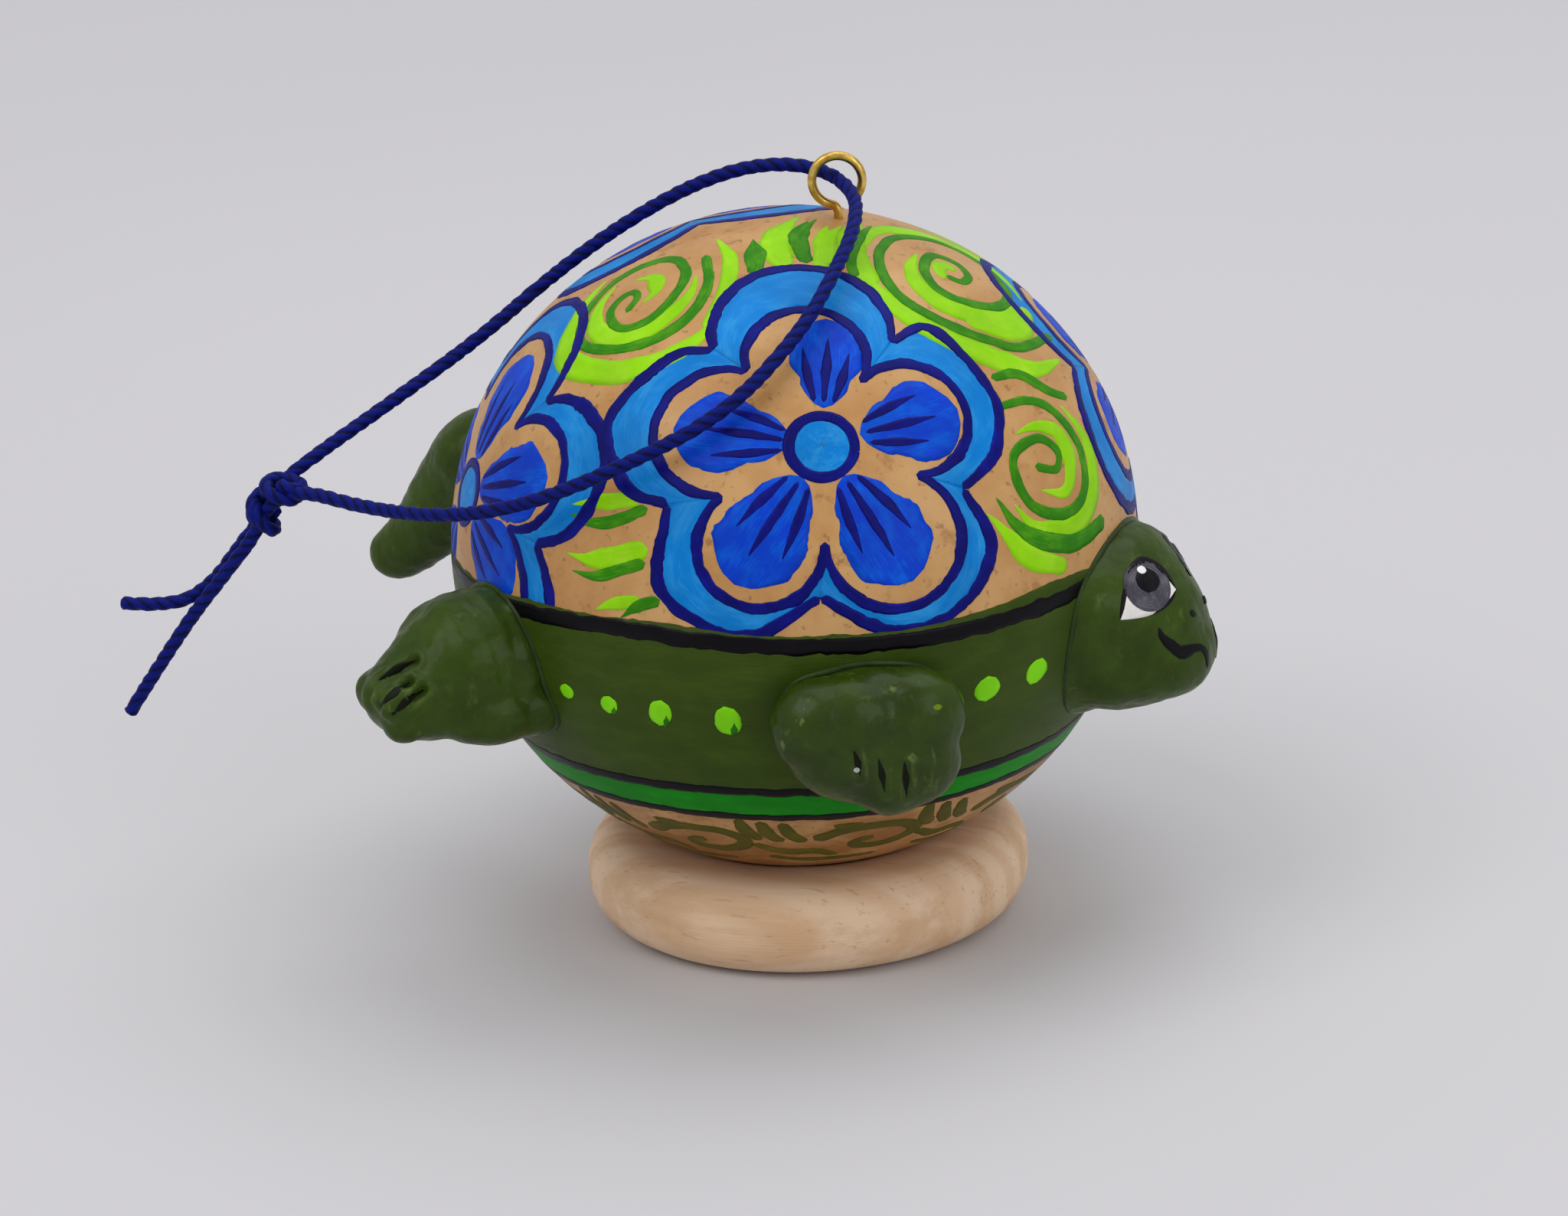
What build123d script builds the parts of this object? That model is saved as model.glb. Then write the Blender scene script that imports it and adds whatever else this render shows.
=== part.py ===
from build123d import *
import math
import os

# A painted gourd turtle that rests on a turned wooden ring, with a screw eye and a
# cord loop to hang it by. Millimetres, +Z up, +X towards the head. The origin is the
# centre of the ring's underside.

# ---- driving dimensions ----
gourd_diameter = 70.0
gourd_height = 67.0
gourd_wall = 2.4
width_share = gourd_diameter / 70.0
height_share = gourd_height / 67.0

ring_outer_diameter = 46.0
ring_hole_diameter = 24.4
ring_height = 9.5
ring_outer_round = 4.2
ring_inner_round = 3.0
seat_clearance = 0.05

glue_thickness = 0.25

head_width = 20.6
head_height = 19.2
head_thickness = 15.0
head_round = 6.8
head_offset = 36.6 * width_share
head_drop = 3.6
snout_width = 13.2
snout_length = 12.4
snout_round = 5.4
snout_offset = 40.2 * width_share
snout_drop = 6.6

tail_length = 22.0
tail_width = 10.0
tail_offset = 38.5 * width_share
tail_drop = 0.4
tail_slope = 57.0

front_leg_angle = 58.0
front_leg_width = 18.4
front_leg_height = 14.6
front_leg_thickness = 9.6
front_leg_round = 4.0
front_leg_offset = 36.2 * width_share
front_leg_drop = 8.4
front_leg_slope = 17.0

rear_leg_angle = 127.0
rear_leg_width = 14.7
rear_leg_length = 19.0
rear_leg_offset = 38.6 * width_share
rear_leg_drop = 7.2
toe_width = 13.0
toe_height = 7.6
toe_round = 3.0
toe_length = 12.0
toe_offset = 43.6 * width_share
toe_drop = 9.0

eye_wire_diameter = 0.9
eye_outer_diameter = 5.9
eye_x = 5.5 * width_share
eye_y = 1.7 * width_share
eye_rise = 3.9
eye_neck_bend = 75.0
eye_sweep = 305.0
eye_plane_angle = 22.0
shank_length = 9.0
thread_length = 8.0
thread_pitch = 0.6
thread_diameter = 1.2
thread_clearance = 0.02

seed_length = 8.0
seed_width = 4.6
seed_thickness = 1.8
seed_round = 0.6
seed_count = 10
seed_spacing = 5.6
seed_clearance = 0.45

cord_diameter = 1.4
cord_bend_share = 0.45
knot_width = 4.8
knot_length = 8.4
knot_round = 1.9

# ---- the cord's route, from the eye, through the knot, to the cut end of each tail ----
eye_loop_centre = (5.5, 1.7, 77.1)
FRONT_HALF = [
    eye_loop_centre,
    (8.3, -0.4, 76.4),
    (10.3, -6.4, 74.3),
    (10.8, -13.8, 71.7),
    (10.2, -21.4, 67.9),
    (5.4, -29.3, 61.7),
    (-4.0, -33.4, 56.9),
    (-14.5, -33.6, 52.3),
    (-24.6, -31.2, 49.7),
    (-34.6, -28.0, 49.0),
    (-42.2, -26.6, 49.9),
    (-46.0, -26.6, 48.0),
    (-47.6, -26.8, 44.6),
    (-51.0, -27.4, 40.6),
    (-56.4, -28.4, 34.0),
    (-62.3, -29.5, 25.3),
]
BACK_HALF = [
    eye_loop_centre,
    (2.7, 3.8, 77.8),
    (-3.4, 3.0, 78.0),
    (-10.2, 2.2, 75.8),
    (-18.0, 1.2, 71.4),
    (-24.8, -1.6, 66.4),
    (-31.2, -6.4, 60.6),
    (-37.8, -14.4, 55.6),
    (-42.4, -21.4, 52.2),
    (-45.6, -24.6, 49.6),
    (-47.4, -25.0, 46.2),
    (-50.2, -25.2, 43.0),
    (-53.4, -25.8, 38.8),
    (-57.4, -27.2, 36.4),
    (-62.6, -28.6, 36.9),
]
KNOT_UPPER = (-44.6, -25.9, 49.4)
KNOT_LOWER = (-47.0, -26.0, 46.1)


# ---- small helpers ----
def pad(size_x, size_y, thickness, edge_round):
    """A flat oval pad about the origin, with rounded edges."""
    flat = extrude(Ellipse(size_x / 2, size_y / 2), thickness / 2, both=True)
    return fillet(flat.edges(), edge_round)


def placed(shape, offset, height, angle, slope=0.0):
    """Leans a shape outwards at its foot, then sets it at a distance and angle from the axis."""
    leaned = Rotation(0, slope, 0) * shape
    return Rotation(0, 0, angle) * (Pos(offset, 0, height) * leaned)


def spheroid(diameter, height):
    """A solid spheroid about the origin and the Z axis, with one smooth outer face."""
    sizes = (diameter / 2, height / 2)
    side = EllipticalCenterArc((0, 0), *sizes, start_angle=-90, arc_size=180)
    chord = Line(side @ 1, side @ 0)
    return revolve(Plane.XZ * make_face(Curve() + [side, chord]), Axis.Z)


def two_domes(diameter, height):
    """The same spheroid with an upper and a lower outer face that meet at its equator."""
    sizes = (diameter / 2, height / 2)
    lower = EllipticalCenterArc((0, 0), *sizes, start_angle=-90, arc_size=90)
    upper = EllipticalCenterArc((0, 0), *sizes, start_angle=0, arc_size=90)
    chord = Line(upper @ 1, lower @ 0)
    return revolve(Plane.XZ * make_face(Curve() + [lower, upper, chord]), Axis.Z)


def seat_height():
    """Height of the gourd's centre when it rests on the ring's inner rounded edge."""
    reach = ring_inner_round + seat_clearance
    round_radius = ring_hole_diameter / 2 + ring_inner_round
    round_height = ring_height - ring_inner_round
    half_width = gourd_diameter / 2
    half_height = gourd_height / 2
    low, high = -math.pi / 2, 0.0
    for _ in range(60):
        angle = (low + high) / 2
        slope_out = math.cos(angle) / half_width
        slope_up = math.sin(angle) / half_height
        length = math.hypot(slope_out, slope_up)
        out = half_width * math.cos(angle) + reach * slope_out / length
        up = half_height * math.sin(angle) + reach * slope_up / length
        if out < round_radius:
            low = angle
        else:
            high = angle
    return round_height - up


gourd_centre = seat_height()


def gourd_solid(extra=0.0):
    """The gourd's outer form, or the same form grown by an even skin."""
    body = spheroid(gourd_diameter + 2 * extra, gourd_height + 2 * extra)
    return Pos(0, 0, gourd_centre) * body


def gourd_surface_height(x, y):
    """Height of the gourd's upper surface at a place seen from above."""
    share = 1 - (x * x + y * y) / (gourd_diameter / 2) ** 2
    return gourd_centre + gourd_height / 2 * math.sqrt(share)


# ---- sub-parts ----
def make_ring_stand():
    """A turned ring with a full outer round and a smaller inner round."""
    hole = ring_hole_diameter / 2
    width = (ring_outer_diameter - ring_hole_diameter) / 2
    section = Pos(hole + width / 2, ring_height / 2) * Rectangle(width, ring_height)
    outer = section.vertices().sort_by(Axis.X)[-2:]
    section = fillet(outer, ring_outer_round)
    inner = section.vertices().sort_by(Axis.X)[:2]
    section = fillet(inner, ring_inner_round)
    return revolve(Plane.XZ * section, Axis.Z)


def make_gourd_shell():
    """The hollow dried gourd, with the hole that the screw eye is driven into."""
    form = two_domes(gourd_diameter, gourd_height)
    cavity = two_domes(gourd_diameter - 2 * gourd_wall, gourd_height - 2 * gourd_wall)
    hole_radius = thread_diameter / 2 + thread_clearance
    top = gourd_surface_height(eye_x, eye_y) + 1
    hole = Pos(eye_x, eye_y, top) * Cylinder(
        hole_radius, shank_length, align=(Align.CENTER, Align.CENTER, Align.MAX)
    )
    middle = Pos(0, 0, gourd_centre)
    return (middle * form - hole) - middle * cavity


def make_dried_seeds():
    """Flat seeds on the cavity's floor, all at one distance from the gourd's centre."""
    rolling_radius = gourd_height / 2 - gourd_wall - seed_clearance
    seed = pad(seed_length, seed_width, seed_thickness, seed_round)
    seeds = []
    for number in range(seed_count):
        out = seed_spacing * math.sqrt(number + 0.4)
        lean = math.degrees(math.asin(out / rolling_radius))
        turn = math.degrees(number * math.pi * (3 - math.sqrt(5)))
        lying = Pos(0, 0, seed_thickness / 2 - rolling_radius) * seed
        seeds.append(Rotation(0, 0, turn) * (Rotation(0, -lean, 0) * lying))
    middle = Pos(0, 0, gourd_centre)
    return Compound(children=[(middle * part).solid() for part in seeds])


def make_screw_eye():
    """Bent wire loop and neck on a ridged shank with a point."""
    surface = gourd_surface_height(eye_x, eye_y)
    loop_radius = (eye_outer_diameter - eye_wire_diameter) / 2
    neck_radius = eye_wire_diameter
    bend = math.radians(eye_neck_bend)
    loop_height = surface + eye_rise
    neck_height = loop_height - (neck_radius + loop_radius) * math.sin(bend)
    shank_top = (0, neck_height)
    neck = JernArc(shank_top, (0, 1), neck_radius, eye_neck_bend)
    loop = JernArc(neck @ 1, neck % 1, loop_radius, -eye_sweep)
    stem = Line((0, surface - 0.5), shank_top)
    path = Plane.XZ * Wire([stem, neck, loop])
    section = Pos(0, 0, surface - 0.5) * Circle(eye_wire_diameter / 2)
    wire = sweep(section, path=path)
    return Pos(eye_x, eye_y, 0) * (Rotation(0, 0, eye_plane_angle) * (wire + make_shank(surface)))


def make_shank(surface):
    """The straight core with thread ridges and a point, below the gourd's surface."""
    core = eye_wire_diameter / 2
    crest = thread_diameter / 2
    foot = surface - shank_length
    points = [(0, surface - 0.4), (core, surface - 0.4)]
    ridge_top = foot + core + thread_length
    for number in range(round(thread_length / thread_pitch)):
        top = ridge_top - number * thread_pitch
        points.append((core, top))
        points.append((crest, top - thread_pitch / 2))
    points.append((core, foot + core))
    points.append((0, foot))
    outline = make_face(Polyline(*points, close=True))
    return revolve(Plane.XZ * outline, Axis.Z)


def raw_head():
    """Skull and snout, before the gourd's curve is cut from the back."""
    skull = Rotation(0, 90, 0) * pad(head_height, head_width, head_thickness, head_round)
    snout = Rotation(0, 90, 0) * pad(snout_width, snout_width, snout_length, snout_round)
    return placed(skull, head_offset, gourd_centre - head_drop, 0) + placed(
        snout, snout_offset, gourd_centre - snout_drop, 0
    )


def raw_tail():
    """A drooping tail, before the gourd's curve is cut from it."""
    blade = spheroid(tail_width, tail_length)
    return placed(blade, tail_offset, gourd_centre - tail_drop, 180, 90 - tail_slope)


def raw_front_leg(side):
    """A rounded paw that hangs down the gourd's flank; side is 1 for left, -1 for right."""
    flat = pad(front_leg_height, front_leg_width, front_leg_thickness, front_leg_round)
    paw = Rotation(0, 90, 0) * flat
    height = gourd_centre - front_leg_drop
    return placed(paw, front_leg_offset, height, side * front_leg_angle, front_leg_slope)


def raw_rear_leg(side):
    """A thigh with flat toes that reach outwards; side is 1 for left, -1 for right."""
    angle = side * rear_leg_angle
    thigh = Rotation(0, 90, 0) * spheroid(rear_leg_width, rear_leg_length)
    toes = pad(toe_length, toe_width, toe_height, toe_round)
    return placed(thigh, rear_leg_offset, gourd_centre - rear_leg_drop, angle) + placed(
        toes, toe_offset, gourd_centre - toe_drop, angle
    )


def glued_on(raw):
    """Splits a raw limb into the limb outside the glue and the thin glue bed under it."""
    skin = gourd_solid(glue_thickness)
    limb = raw - skin
    bed = (raw & skin) - gourd_solid()
    return limb, bed


def bend_radii(points):
    """The radius of the arc at each inner point, from its shorter run and its turn."""
    radii = []
    for before, here, after in zip(points, points[1:], points[2:]):
        run_in = Vector(*here) - Vector(*before)
        run_out = Vector(*after) - Vector(*here)
        turn = math.radians(run_in.get_angle(run_out))
        shorter = min(run_in.length, run_out.length)
        radii.append(cord_bend_share * shorter / math.tan(turn / 2))
    return radii


def moved_with_gourd(point):
    """A route point of the 70 by 67 mm gourd, moved to suit the gourd's present size."""
    lift = round(gourd_centre - 40.007, 3)
    height = 40.007 + lift + (point[2] - 40.007) * height_share
    return (point[0] * width_share, point[1] * width_share, height)


def make_cord(name, points):
    """A round cord along straight runs joined by tangent arcs."""
    points = [moved_with_gourd(point) for point in points]
    radii = bend_radii(points)
    path = FilletPolyline(*points, radius=radii)
    start = Plane(origin=path @ 0, z_dir=path % 0)
    tube = sweep(start * Circle(cord_diameter / 2), path=path)
    expected = math.pi * (cord_diameter / 2) ** 2 * path.length
    print(name, "bend radii in mm:", [round(radius, 1) for radius in radii])
    print(name, "length", round(path.length, 1), "volume share", round(tube.volume / expected, 4))
    return tube


def make_cord_knot():
    """Two overhand turns drawn up tight, one above the other, as one plain barrel."""
    barrel = Cylinder(knot_width / 2, knot_length)
    barrel = fillet(barrel.edges(), knot_round)
    upper = Vector(*moved_with_gourd(KNOT_UPPER))
    lower = Vector(*moved_with_gourd(KNOT_LOWER))
    return Plane(origin=(upper + lower) / 2, z_dir=upper - lower) * barrel


def build_all():
    """Every sub-part, by node name."""
    nodes = {
        "ring_stand": make_ring_stand(),
        "gourd_shell": make_gourd_shell(),
        "dried_seeds": make_dried_seeds(),
        "screw_eye": make_screw_eye(),
        "cord_front_half": make_cord("cord_front_half", FRONT_HALF),
        "cord_back_half": make_cord("cord_back_half", BACK_HALF),
        "cord_knot": make_cord_knot(),
    }
    limbs = {
        "head": raw_head(),
        "tail": raw_tail(),
        "leg_front_right": raw_front_leg(-1),
        "leg_front_left": raw_front_leg(1),
        "leg_rear_right": raw_rear_leg(-1),
        "leg_rear_left": raw_rear_leg(1),
    }
    for name, raw in limbs.items():
        nodes[name], nodes[name + "_glue"] = glued_on(raw)
    return nodes


os.makedirs("parts", exist_ok=True)
for node, shape in build_all().items():
    export_step(shape, f"parts/{node}.step")
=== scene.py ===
"""A painted gourd turtle on a turned wooden ring, with a screw eye and a knotted hanging cord."""
import logging
import math
from dataclasses import dataclass, field
from enum import Enum
from typing import Callable, Iterable, Sequence

import bmesh
import bpy
from mathutils import Matrix, Vector, noise
from mathutils.bvhtree import BVHTree


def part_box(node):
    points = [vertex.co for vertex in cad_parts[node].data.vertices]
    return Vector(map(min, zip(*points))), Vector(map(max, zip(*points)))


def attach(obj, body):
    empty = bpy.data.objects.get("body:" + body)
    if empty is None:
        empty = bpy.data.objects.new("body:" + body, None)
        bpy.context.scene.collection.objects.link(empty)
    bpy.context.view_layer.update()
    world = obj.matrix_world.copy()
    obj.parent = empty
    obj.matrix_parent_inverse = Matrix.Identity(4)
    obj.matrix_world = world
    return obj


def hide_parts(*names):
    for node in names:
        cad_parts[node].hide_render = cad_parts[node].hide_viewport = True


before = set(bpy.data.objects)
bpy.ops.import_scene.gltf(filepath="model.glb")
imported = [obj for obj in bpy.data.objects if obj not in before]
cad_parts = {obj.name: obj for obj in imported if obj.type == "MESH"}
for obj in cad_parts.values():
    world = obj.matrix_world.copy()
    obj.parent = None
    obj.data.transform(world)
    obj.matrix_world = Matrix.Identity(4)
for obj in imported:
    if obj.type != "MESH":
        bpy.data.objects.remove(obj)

log = logging.getLogger("gourd_turtle")

MM = 0.001
Pair = tuple[float, float]
Triple = tuple[float, float, float]
Flat = Sequence[Pair]

# The hanging cord's route in millimetres, the same points as the CAD's two halves.
FRONT_HALF: list[Triple] = [
    (5.5, 1.7, 77.1), (8.3, -0.4, 76.4), (10.3, -6.4, 74.3), (10.8, -13.8, 71.7), (10.2, -21.4, 67.9),
    (5.4, -29.3, 61.7), (-4.0, -33.4, 56.9), (-14.5, -33.6, 52.3), (-24.6, -31.2, 49.7), (-34.6, -28.0, 49.0),
    (-42.2, -26.6, 49.9), (-46.0, -26.6, 48.0), (-47.6, -26.8, 44.6), (-51.0, -27.4, 40.6),
    (-56.4, -28.4, 34.0), (-62.3, -29.5, 25.3),
]
BACK_HALF: list[Triple] = [
    (5.5, 1.7, 77.1), (2.7, 3.8, 77.8), (-3.4, 3.0, 78.0), (-10.2, 2.2, 75.8), (-18.0, 1.2, 71.4),
    (-24.8, -1.6, 66.4), (-31.2, -6.4, 60.6), (-37.8, -14.4, 55.6), (-42.4, -21.4, 52.2),
    (-45.6, -24.6, 49.6), (-47.4, -25.0, 46.2), (-50.2, -25.2, 43.0), (-53.4, -25.8, 38.8),
    (-57.4, -27.2, 36.4), (-62.6, -28.6, 36.9),
]
KNOT_UPPER = Vector((-44.6, -25.9, 49.4))
KNOT_LOWER = Vector((-47.0, -26.0, 46.1))

# The unit direction from the figure to the viewer.
VIEW_WAY = Vector((0.3547, -0.878, 0.3213))

# How deep a coat of paint starts under its surface, and a limb's back under the gourd's skin.
PAINT_ROOT = 0.05
SEAT_DEPTH = 0.35

# How far off the brush that paints a limb starts, and how far it reaches.
BRUSH_START = 14.0
BRUSH_REACH = 40.0


class Tip(Enum):
    """How a brush stroke ends."""

    ROUND = "round"
    TAPER = "taper"


class Body(Enum):
    """The bodies of the frame that pieces made here ride on."""

    STAND = "stand"
    FIGURE = "figure"
    CORD = "cord"


def node_box(name: str) -> tuple[Vector, Vector]:
    """The lowest and highest corners of a CAD node, in millimetres."""
    low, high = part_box(name)
    return Vector(low) / MM, Vector(high) / MM


# ---------------------------------------------------------------- shader helpers


def rgb(red: float, green: float, blue: float) -> tuple[float, float, float, float]:
    """A display colour from 0 to 255 as a linear shader colour."""
    def linear(value: float) -> float:
        """One channel without its display curve."""
        share = value / 255.0
        return share / 12.92 if share <= 0.04045 else ((share + 0.055) / 1.055) ** 2.4
    return (linear(red), linear(green), linear(blue), 1.0)


@dataclass
class Bench:
    """A shader tree with short calls to place and join nodes.

    Args:
        tree: The node tree of a material or of a node group.
    """

    tree: bpy.types.NodeTree

    def put(self, kind: str, sockets: dict | None = None, **settings) -> bpy.types.Node:
        """Place a node, with its settings, and its sockets set or joined.

        Args:
            kind: The node's Blender type.
            sockets: Values or output sockets by input name or number.
            settings: Attributes of the node.

        Returns:
            The placed node.
        """
        made = self.tree.nodes.new(kind)
        for name, value in settings.items():
            setattr(made, name, value)
        for name, value in (sockets or {}).items():
            target = made.inputs[name]
            if isinstance(value, bpy.types.NodeSocket):
                self.tree.links.new(value, target)
            else:
                target.default_value = value
        return made

    def maths(self, how: str, first, second=0.0, clamp: bool = False) -> bpy.types.NodeSocket:
        """The output of a Math node on two values or sockets."""
        return self.put("ShaderNodeMath", {0: first, 1: second}, operation=how, use_clamp=clamp).outputs[0]

    def mixed(self, share, first, second) -> bpy.types.NodeSocket:
        """The colour output of a Mix node."""
        return self.put("ShaderNodeMix", {0: share, 6: first, 7: second}, data_type="RGBA").outputs[2]

    def span(self, value, low: float, high: float, start: float = 0.0,
             end: float = 1.0) -> bpy.types.NodeSocket:
        """A value moved smoothly from one span to another."""
        made = self.put(
            "ShaderNodeMapRange", {0: value, 1: low, 2: high, 3: start, 4: end},
            interpolation_type="SMOOTHSTEP"
        )
        return made.outputs[0]

    def placed(self, vector, scale: Triple) -> bpy.types.NodeSocket:
        """A vector scaled by a Mapping node."""
        return self.put("ShaderNodeMapping", {0: vector, 3: scale}).outputs[0]

    def cloud(self, vector, scale: float, detail: float = 3.0, rough: float = 0.55) -> bpy.types.NodeSocket:
        """The value of a Noise texture."""
        made = self.put("ShaderNodeTexNoise",
                        {"Vector": vector, "Scale": scale, "Detail": detail, "Roughness": rough})
        return made.outputs[0]


def new_group(name: str, inputs: dict[str, tuple[str, float]], outputs: dict[str, str]) -> tuple:
    """Start a shared shader group.

    Args:
        name: The group's name.
        inputs: Socket kinds and defaults by name.
        outputs: Socket kinds by name.

    Returns:
        The group, its bench, its input node and its output node.
    """
    tree = bpy.data.node_groups.new(name, "ShaderNodeTree")
    for label, (kind, value) in inputs.items():
        made = tree.interface.new_socket(label, in_out="INPUT", socket_type=kind)
        if kind == "NodeSocketFloat":
            made.default_value = value
    for label, kind in outputs.items():
        tree.interface.new_socket(label, in_out="OUTPUT", socket_type=kind)
    bench = Bench(tree)
    return tree, bench, bench.put("NodeGroupInput"), bench.put("NodeGroupOutput")


@dataclass
class SharedEffects:
    """The node groups that several finishes use."""

    streaks: bpy.types.NodeTree = field(init=False)
    mottle: bpy.types.NodeTree = field(init=False)
    edges: bpy.types.NodeTree = field(init=False)

    def __post_init__(self) -> None:
        """Build the groups once."""
        self.streaks = self._brush_streaks()
        self.mottle = self._mottle()
        self.edges = self._worn_and_lit_edges()

    def _brush_streaks(self) -> bpy.types.NodeTree:
        """Long bristle marks that follow the way each stroke was painted."""
        tree, bench, source, sink = new_group(
            "brush_streaks",
            {"Stroke": ("NodeSocketVector", 0.0), "Fineness": ("NodeSocketFloat", 4.0)},
            {"Load": "NodeSocketFloat", "Ridges": "NodeSocketFloat"},
        )
        stroke = source.outputs["Stroke"]
        long_way = bench.placed(stroke, (0.22, 2.2, 5.0))
        ridged = bench.put("ShaderNodeTexNoise", {"Vector": long_way, "Detail": 4.0, "Roughness": 0.6})
        bench.tree.links.new(source.outputs["Fineness"], ridged.inputs["Scale"])
        pooled = bench.cloud(bench.placed(stroke, (0.35, 0.5, 3.0)), 1.0, 2.0)
        load = bench.maths("ADD", bench.maths("MULTIPLY", ridged.outputs[0], 0.45),
                           bench.maths("MULTIPLY", pooled, 0.55))
        bench.tree.links.new(load, sink.inputs["Load"])
        bench.tree.links.new(ridged.outputs[0], sink.inputs["Ridges"])
        return tree

    def _mottle(self) -> bpy.types.NodeTree:
        """Soft patches and fine specks for a hand-worked surface."""
        tree, bench, source, sink = new_group(
            "mottle",
            {"Vector": ("NodeSocketVector", 0.0), "Size": ("NodeSocketFloat", 200.0)},
            {"Patches": "NodeSocketFloat", "Specks": "NodeSocketFloat"},
        )
        wide = bench.put("ShaderNodeTexNoise", {"Detail": 5.0, "Roughness": 0.62})
        fine = bench.put("ShaderNodeTexNoise", {"Detail": 2.0, "Roughness": 0.5})
        for made in (wide, fine):
            bench.tree.links.new(source.outputs["Vector"], made.inputs["Vector"])
        bench.tree.links.new(source.outputs["Size"], wide.inputs["Scale"])
        bench.tree.links.new(bench.maths("MULTIPLY", source.outputs["Size"], 9.0), fine.inputs["Scale"])
        bench.tree.links.new(bench.span(wide.outputs[0], 0.32, 0.68), sink.inputs["Patches"])
        bench.tree.links.new(bench.span(fine.outputs[0], 0.62, 0.74), sink.inputs["Specks"])
        return tree

    def _worn_and_lit_edges(self) -> bpy.types.NodeTree:
        """A mask of high spots from the surface's pointiness: rubbed wear there, and a painted highlight
        along convex edges.
        """
        tree, bench, source, sink = new_group(
            "worn_and_lit_edges",
            {"Low": ("NodeSocketFloat", 0.5), "High": ("NodeSocketFloat", 0.56)},
            {"WornAndLit": "NodeSocketFloat"},
        )
        shape = bench.put("ShaderNodeNewGeometry")
        ramp = bench.put("ShaderNodeMapRange", {0: shape.outputs["Pointiness"]},
                         interpolation_type="SMOOTHSTEP")
        bench.tree.links.new(source.outputs["Low"], ramp.inputs[1])
        bench.tree.links.new(source.outputs["High"], ramp.inputs[2])
        bench.tree.links.new(ramp.outputs[0], sink.inputs["WornAndLit"])
        return tree


EFFECTS = SharedEffects()


def start_finish(name: str, roughness: float, coat: float = 0.0, coat_roughness: float = 0.1,
                 gloss: float = 0.5) -> tuple:
    """A material with its shader.

    Returns:
        The material, its bench and its Principled node.
    """
    made = bpy.data.materials.new(name)
    made.use_nodes = True
    made.node_tree.nodes.clear()
    bench = Bench(made.node_tree)
    shader = bench.put(
        "ShaderNodeBsdfPrincipled",
        {"Roughness": roughness, "Coat Weight": coat, "Coat Roughness": coat_roughness,
         "Specular IOR Level": gloss},
    )
    bench.put("ShaderNodeOutputMaterial", {"Surface": shader.outputs[0]})
    return made, bench, shader


def roughen(bench: Bench, shader: bpy.types.Node, height, strength: float, distance: float) -> None:
    """Join a height to the shader's normal through a Bump node."""
    bump = bench.put("ShaderNodeBump", {"Height": height, "Strength": strength, "Distance": distance})
    bench.tree.links.new(bump.outputs[0], shader.inputs["Normal"])


# ---------------------------------------------------------------- finishes


@dataclass(frozen=True)
class BrushedPaint:
    """Craft paint laid on with a small brush.

    Args:
        name: The material's name.
        body: The colour where the paint is full.
        thin: The colour where the brush ran thin.
        streak: How strongly the bristle marks show.
    """

    name: str
    body: Triple
    thin: Triple
    streak: float = 0.5
    roughness: float = 0.42
    coat: float = 0.02
    gloss: float = 0.1

    def build(self) -> bpy.types.Material:
        """The finished material."""
        made, bench, shader = start_finish(self.name, self.roughness, self.coat, 0.18, self.gloss)
        marks = bench.put("ShaderNodeAttribute", attribute_name="stroke")
        brush = bench.put("ShaderNodeGroup", node_tree=EFFECTS.streaks)
        brush.inputs["Fineness"].default_value = 3.0
        bench.tree.links.new(marks.outputs["Vector"], brush.inputs["Stroke"])
        place = bench.put("ShaderNodeTexCoord").outputs["Object"]
        patch = bench.put("ShaderNodeGroup", node_tree=EFFECTS.mottle)
        patch.inputs["Size"].default_value = 160.0
        bench.tree.links.new(place, patch.inputs["Vector"])
        thinness = bench.span(brush.outputs["Load"], 0.42, 0.66, 0.0, self.streak)
        colour = bench.mixed(thinness, rgb(*self.body), rgb(*self.thin))
        deep = tuple(0.8 * channel for channel in self.body)
        colour = bench.mixed(bench.maths("MULTIPLY", patch.outputs["Patches"], 0.45), colour, rgb(*deep))
        bench.tree.links.new(colour, shader.inputs["Base Color"])
        bench.tree.links.new(
            bench.span(brush.outputs["Ridges"], 0.3, 0.7, self.roughness - 0.06, self.roughness + 0.14),
            shader.inputs["Roughness"],
        )
        roughen(bench, shader, brush.outputs["Ridges"], 0.35, 0.00006)
        return made


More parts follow.
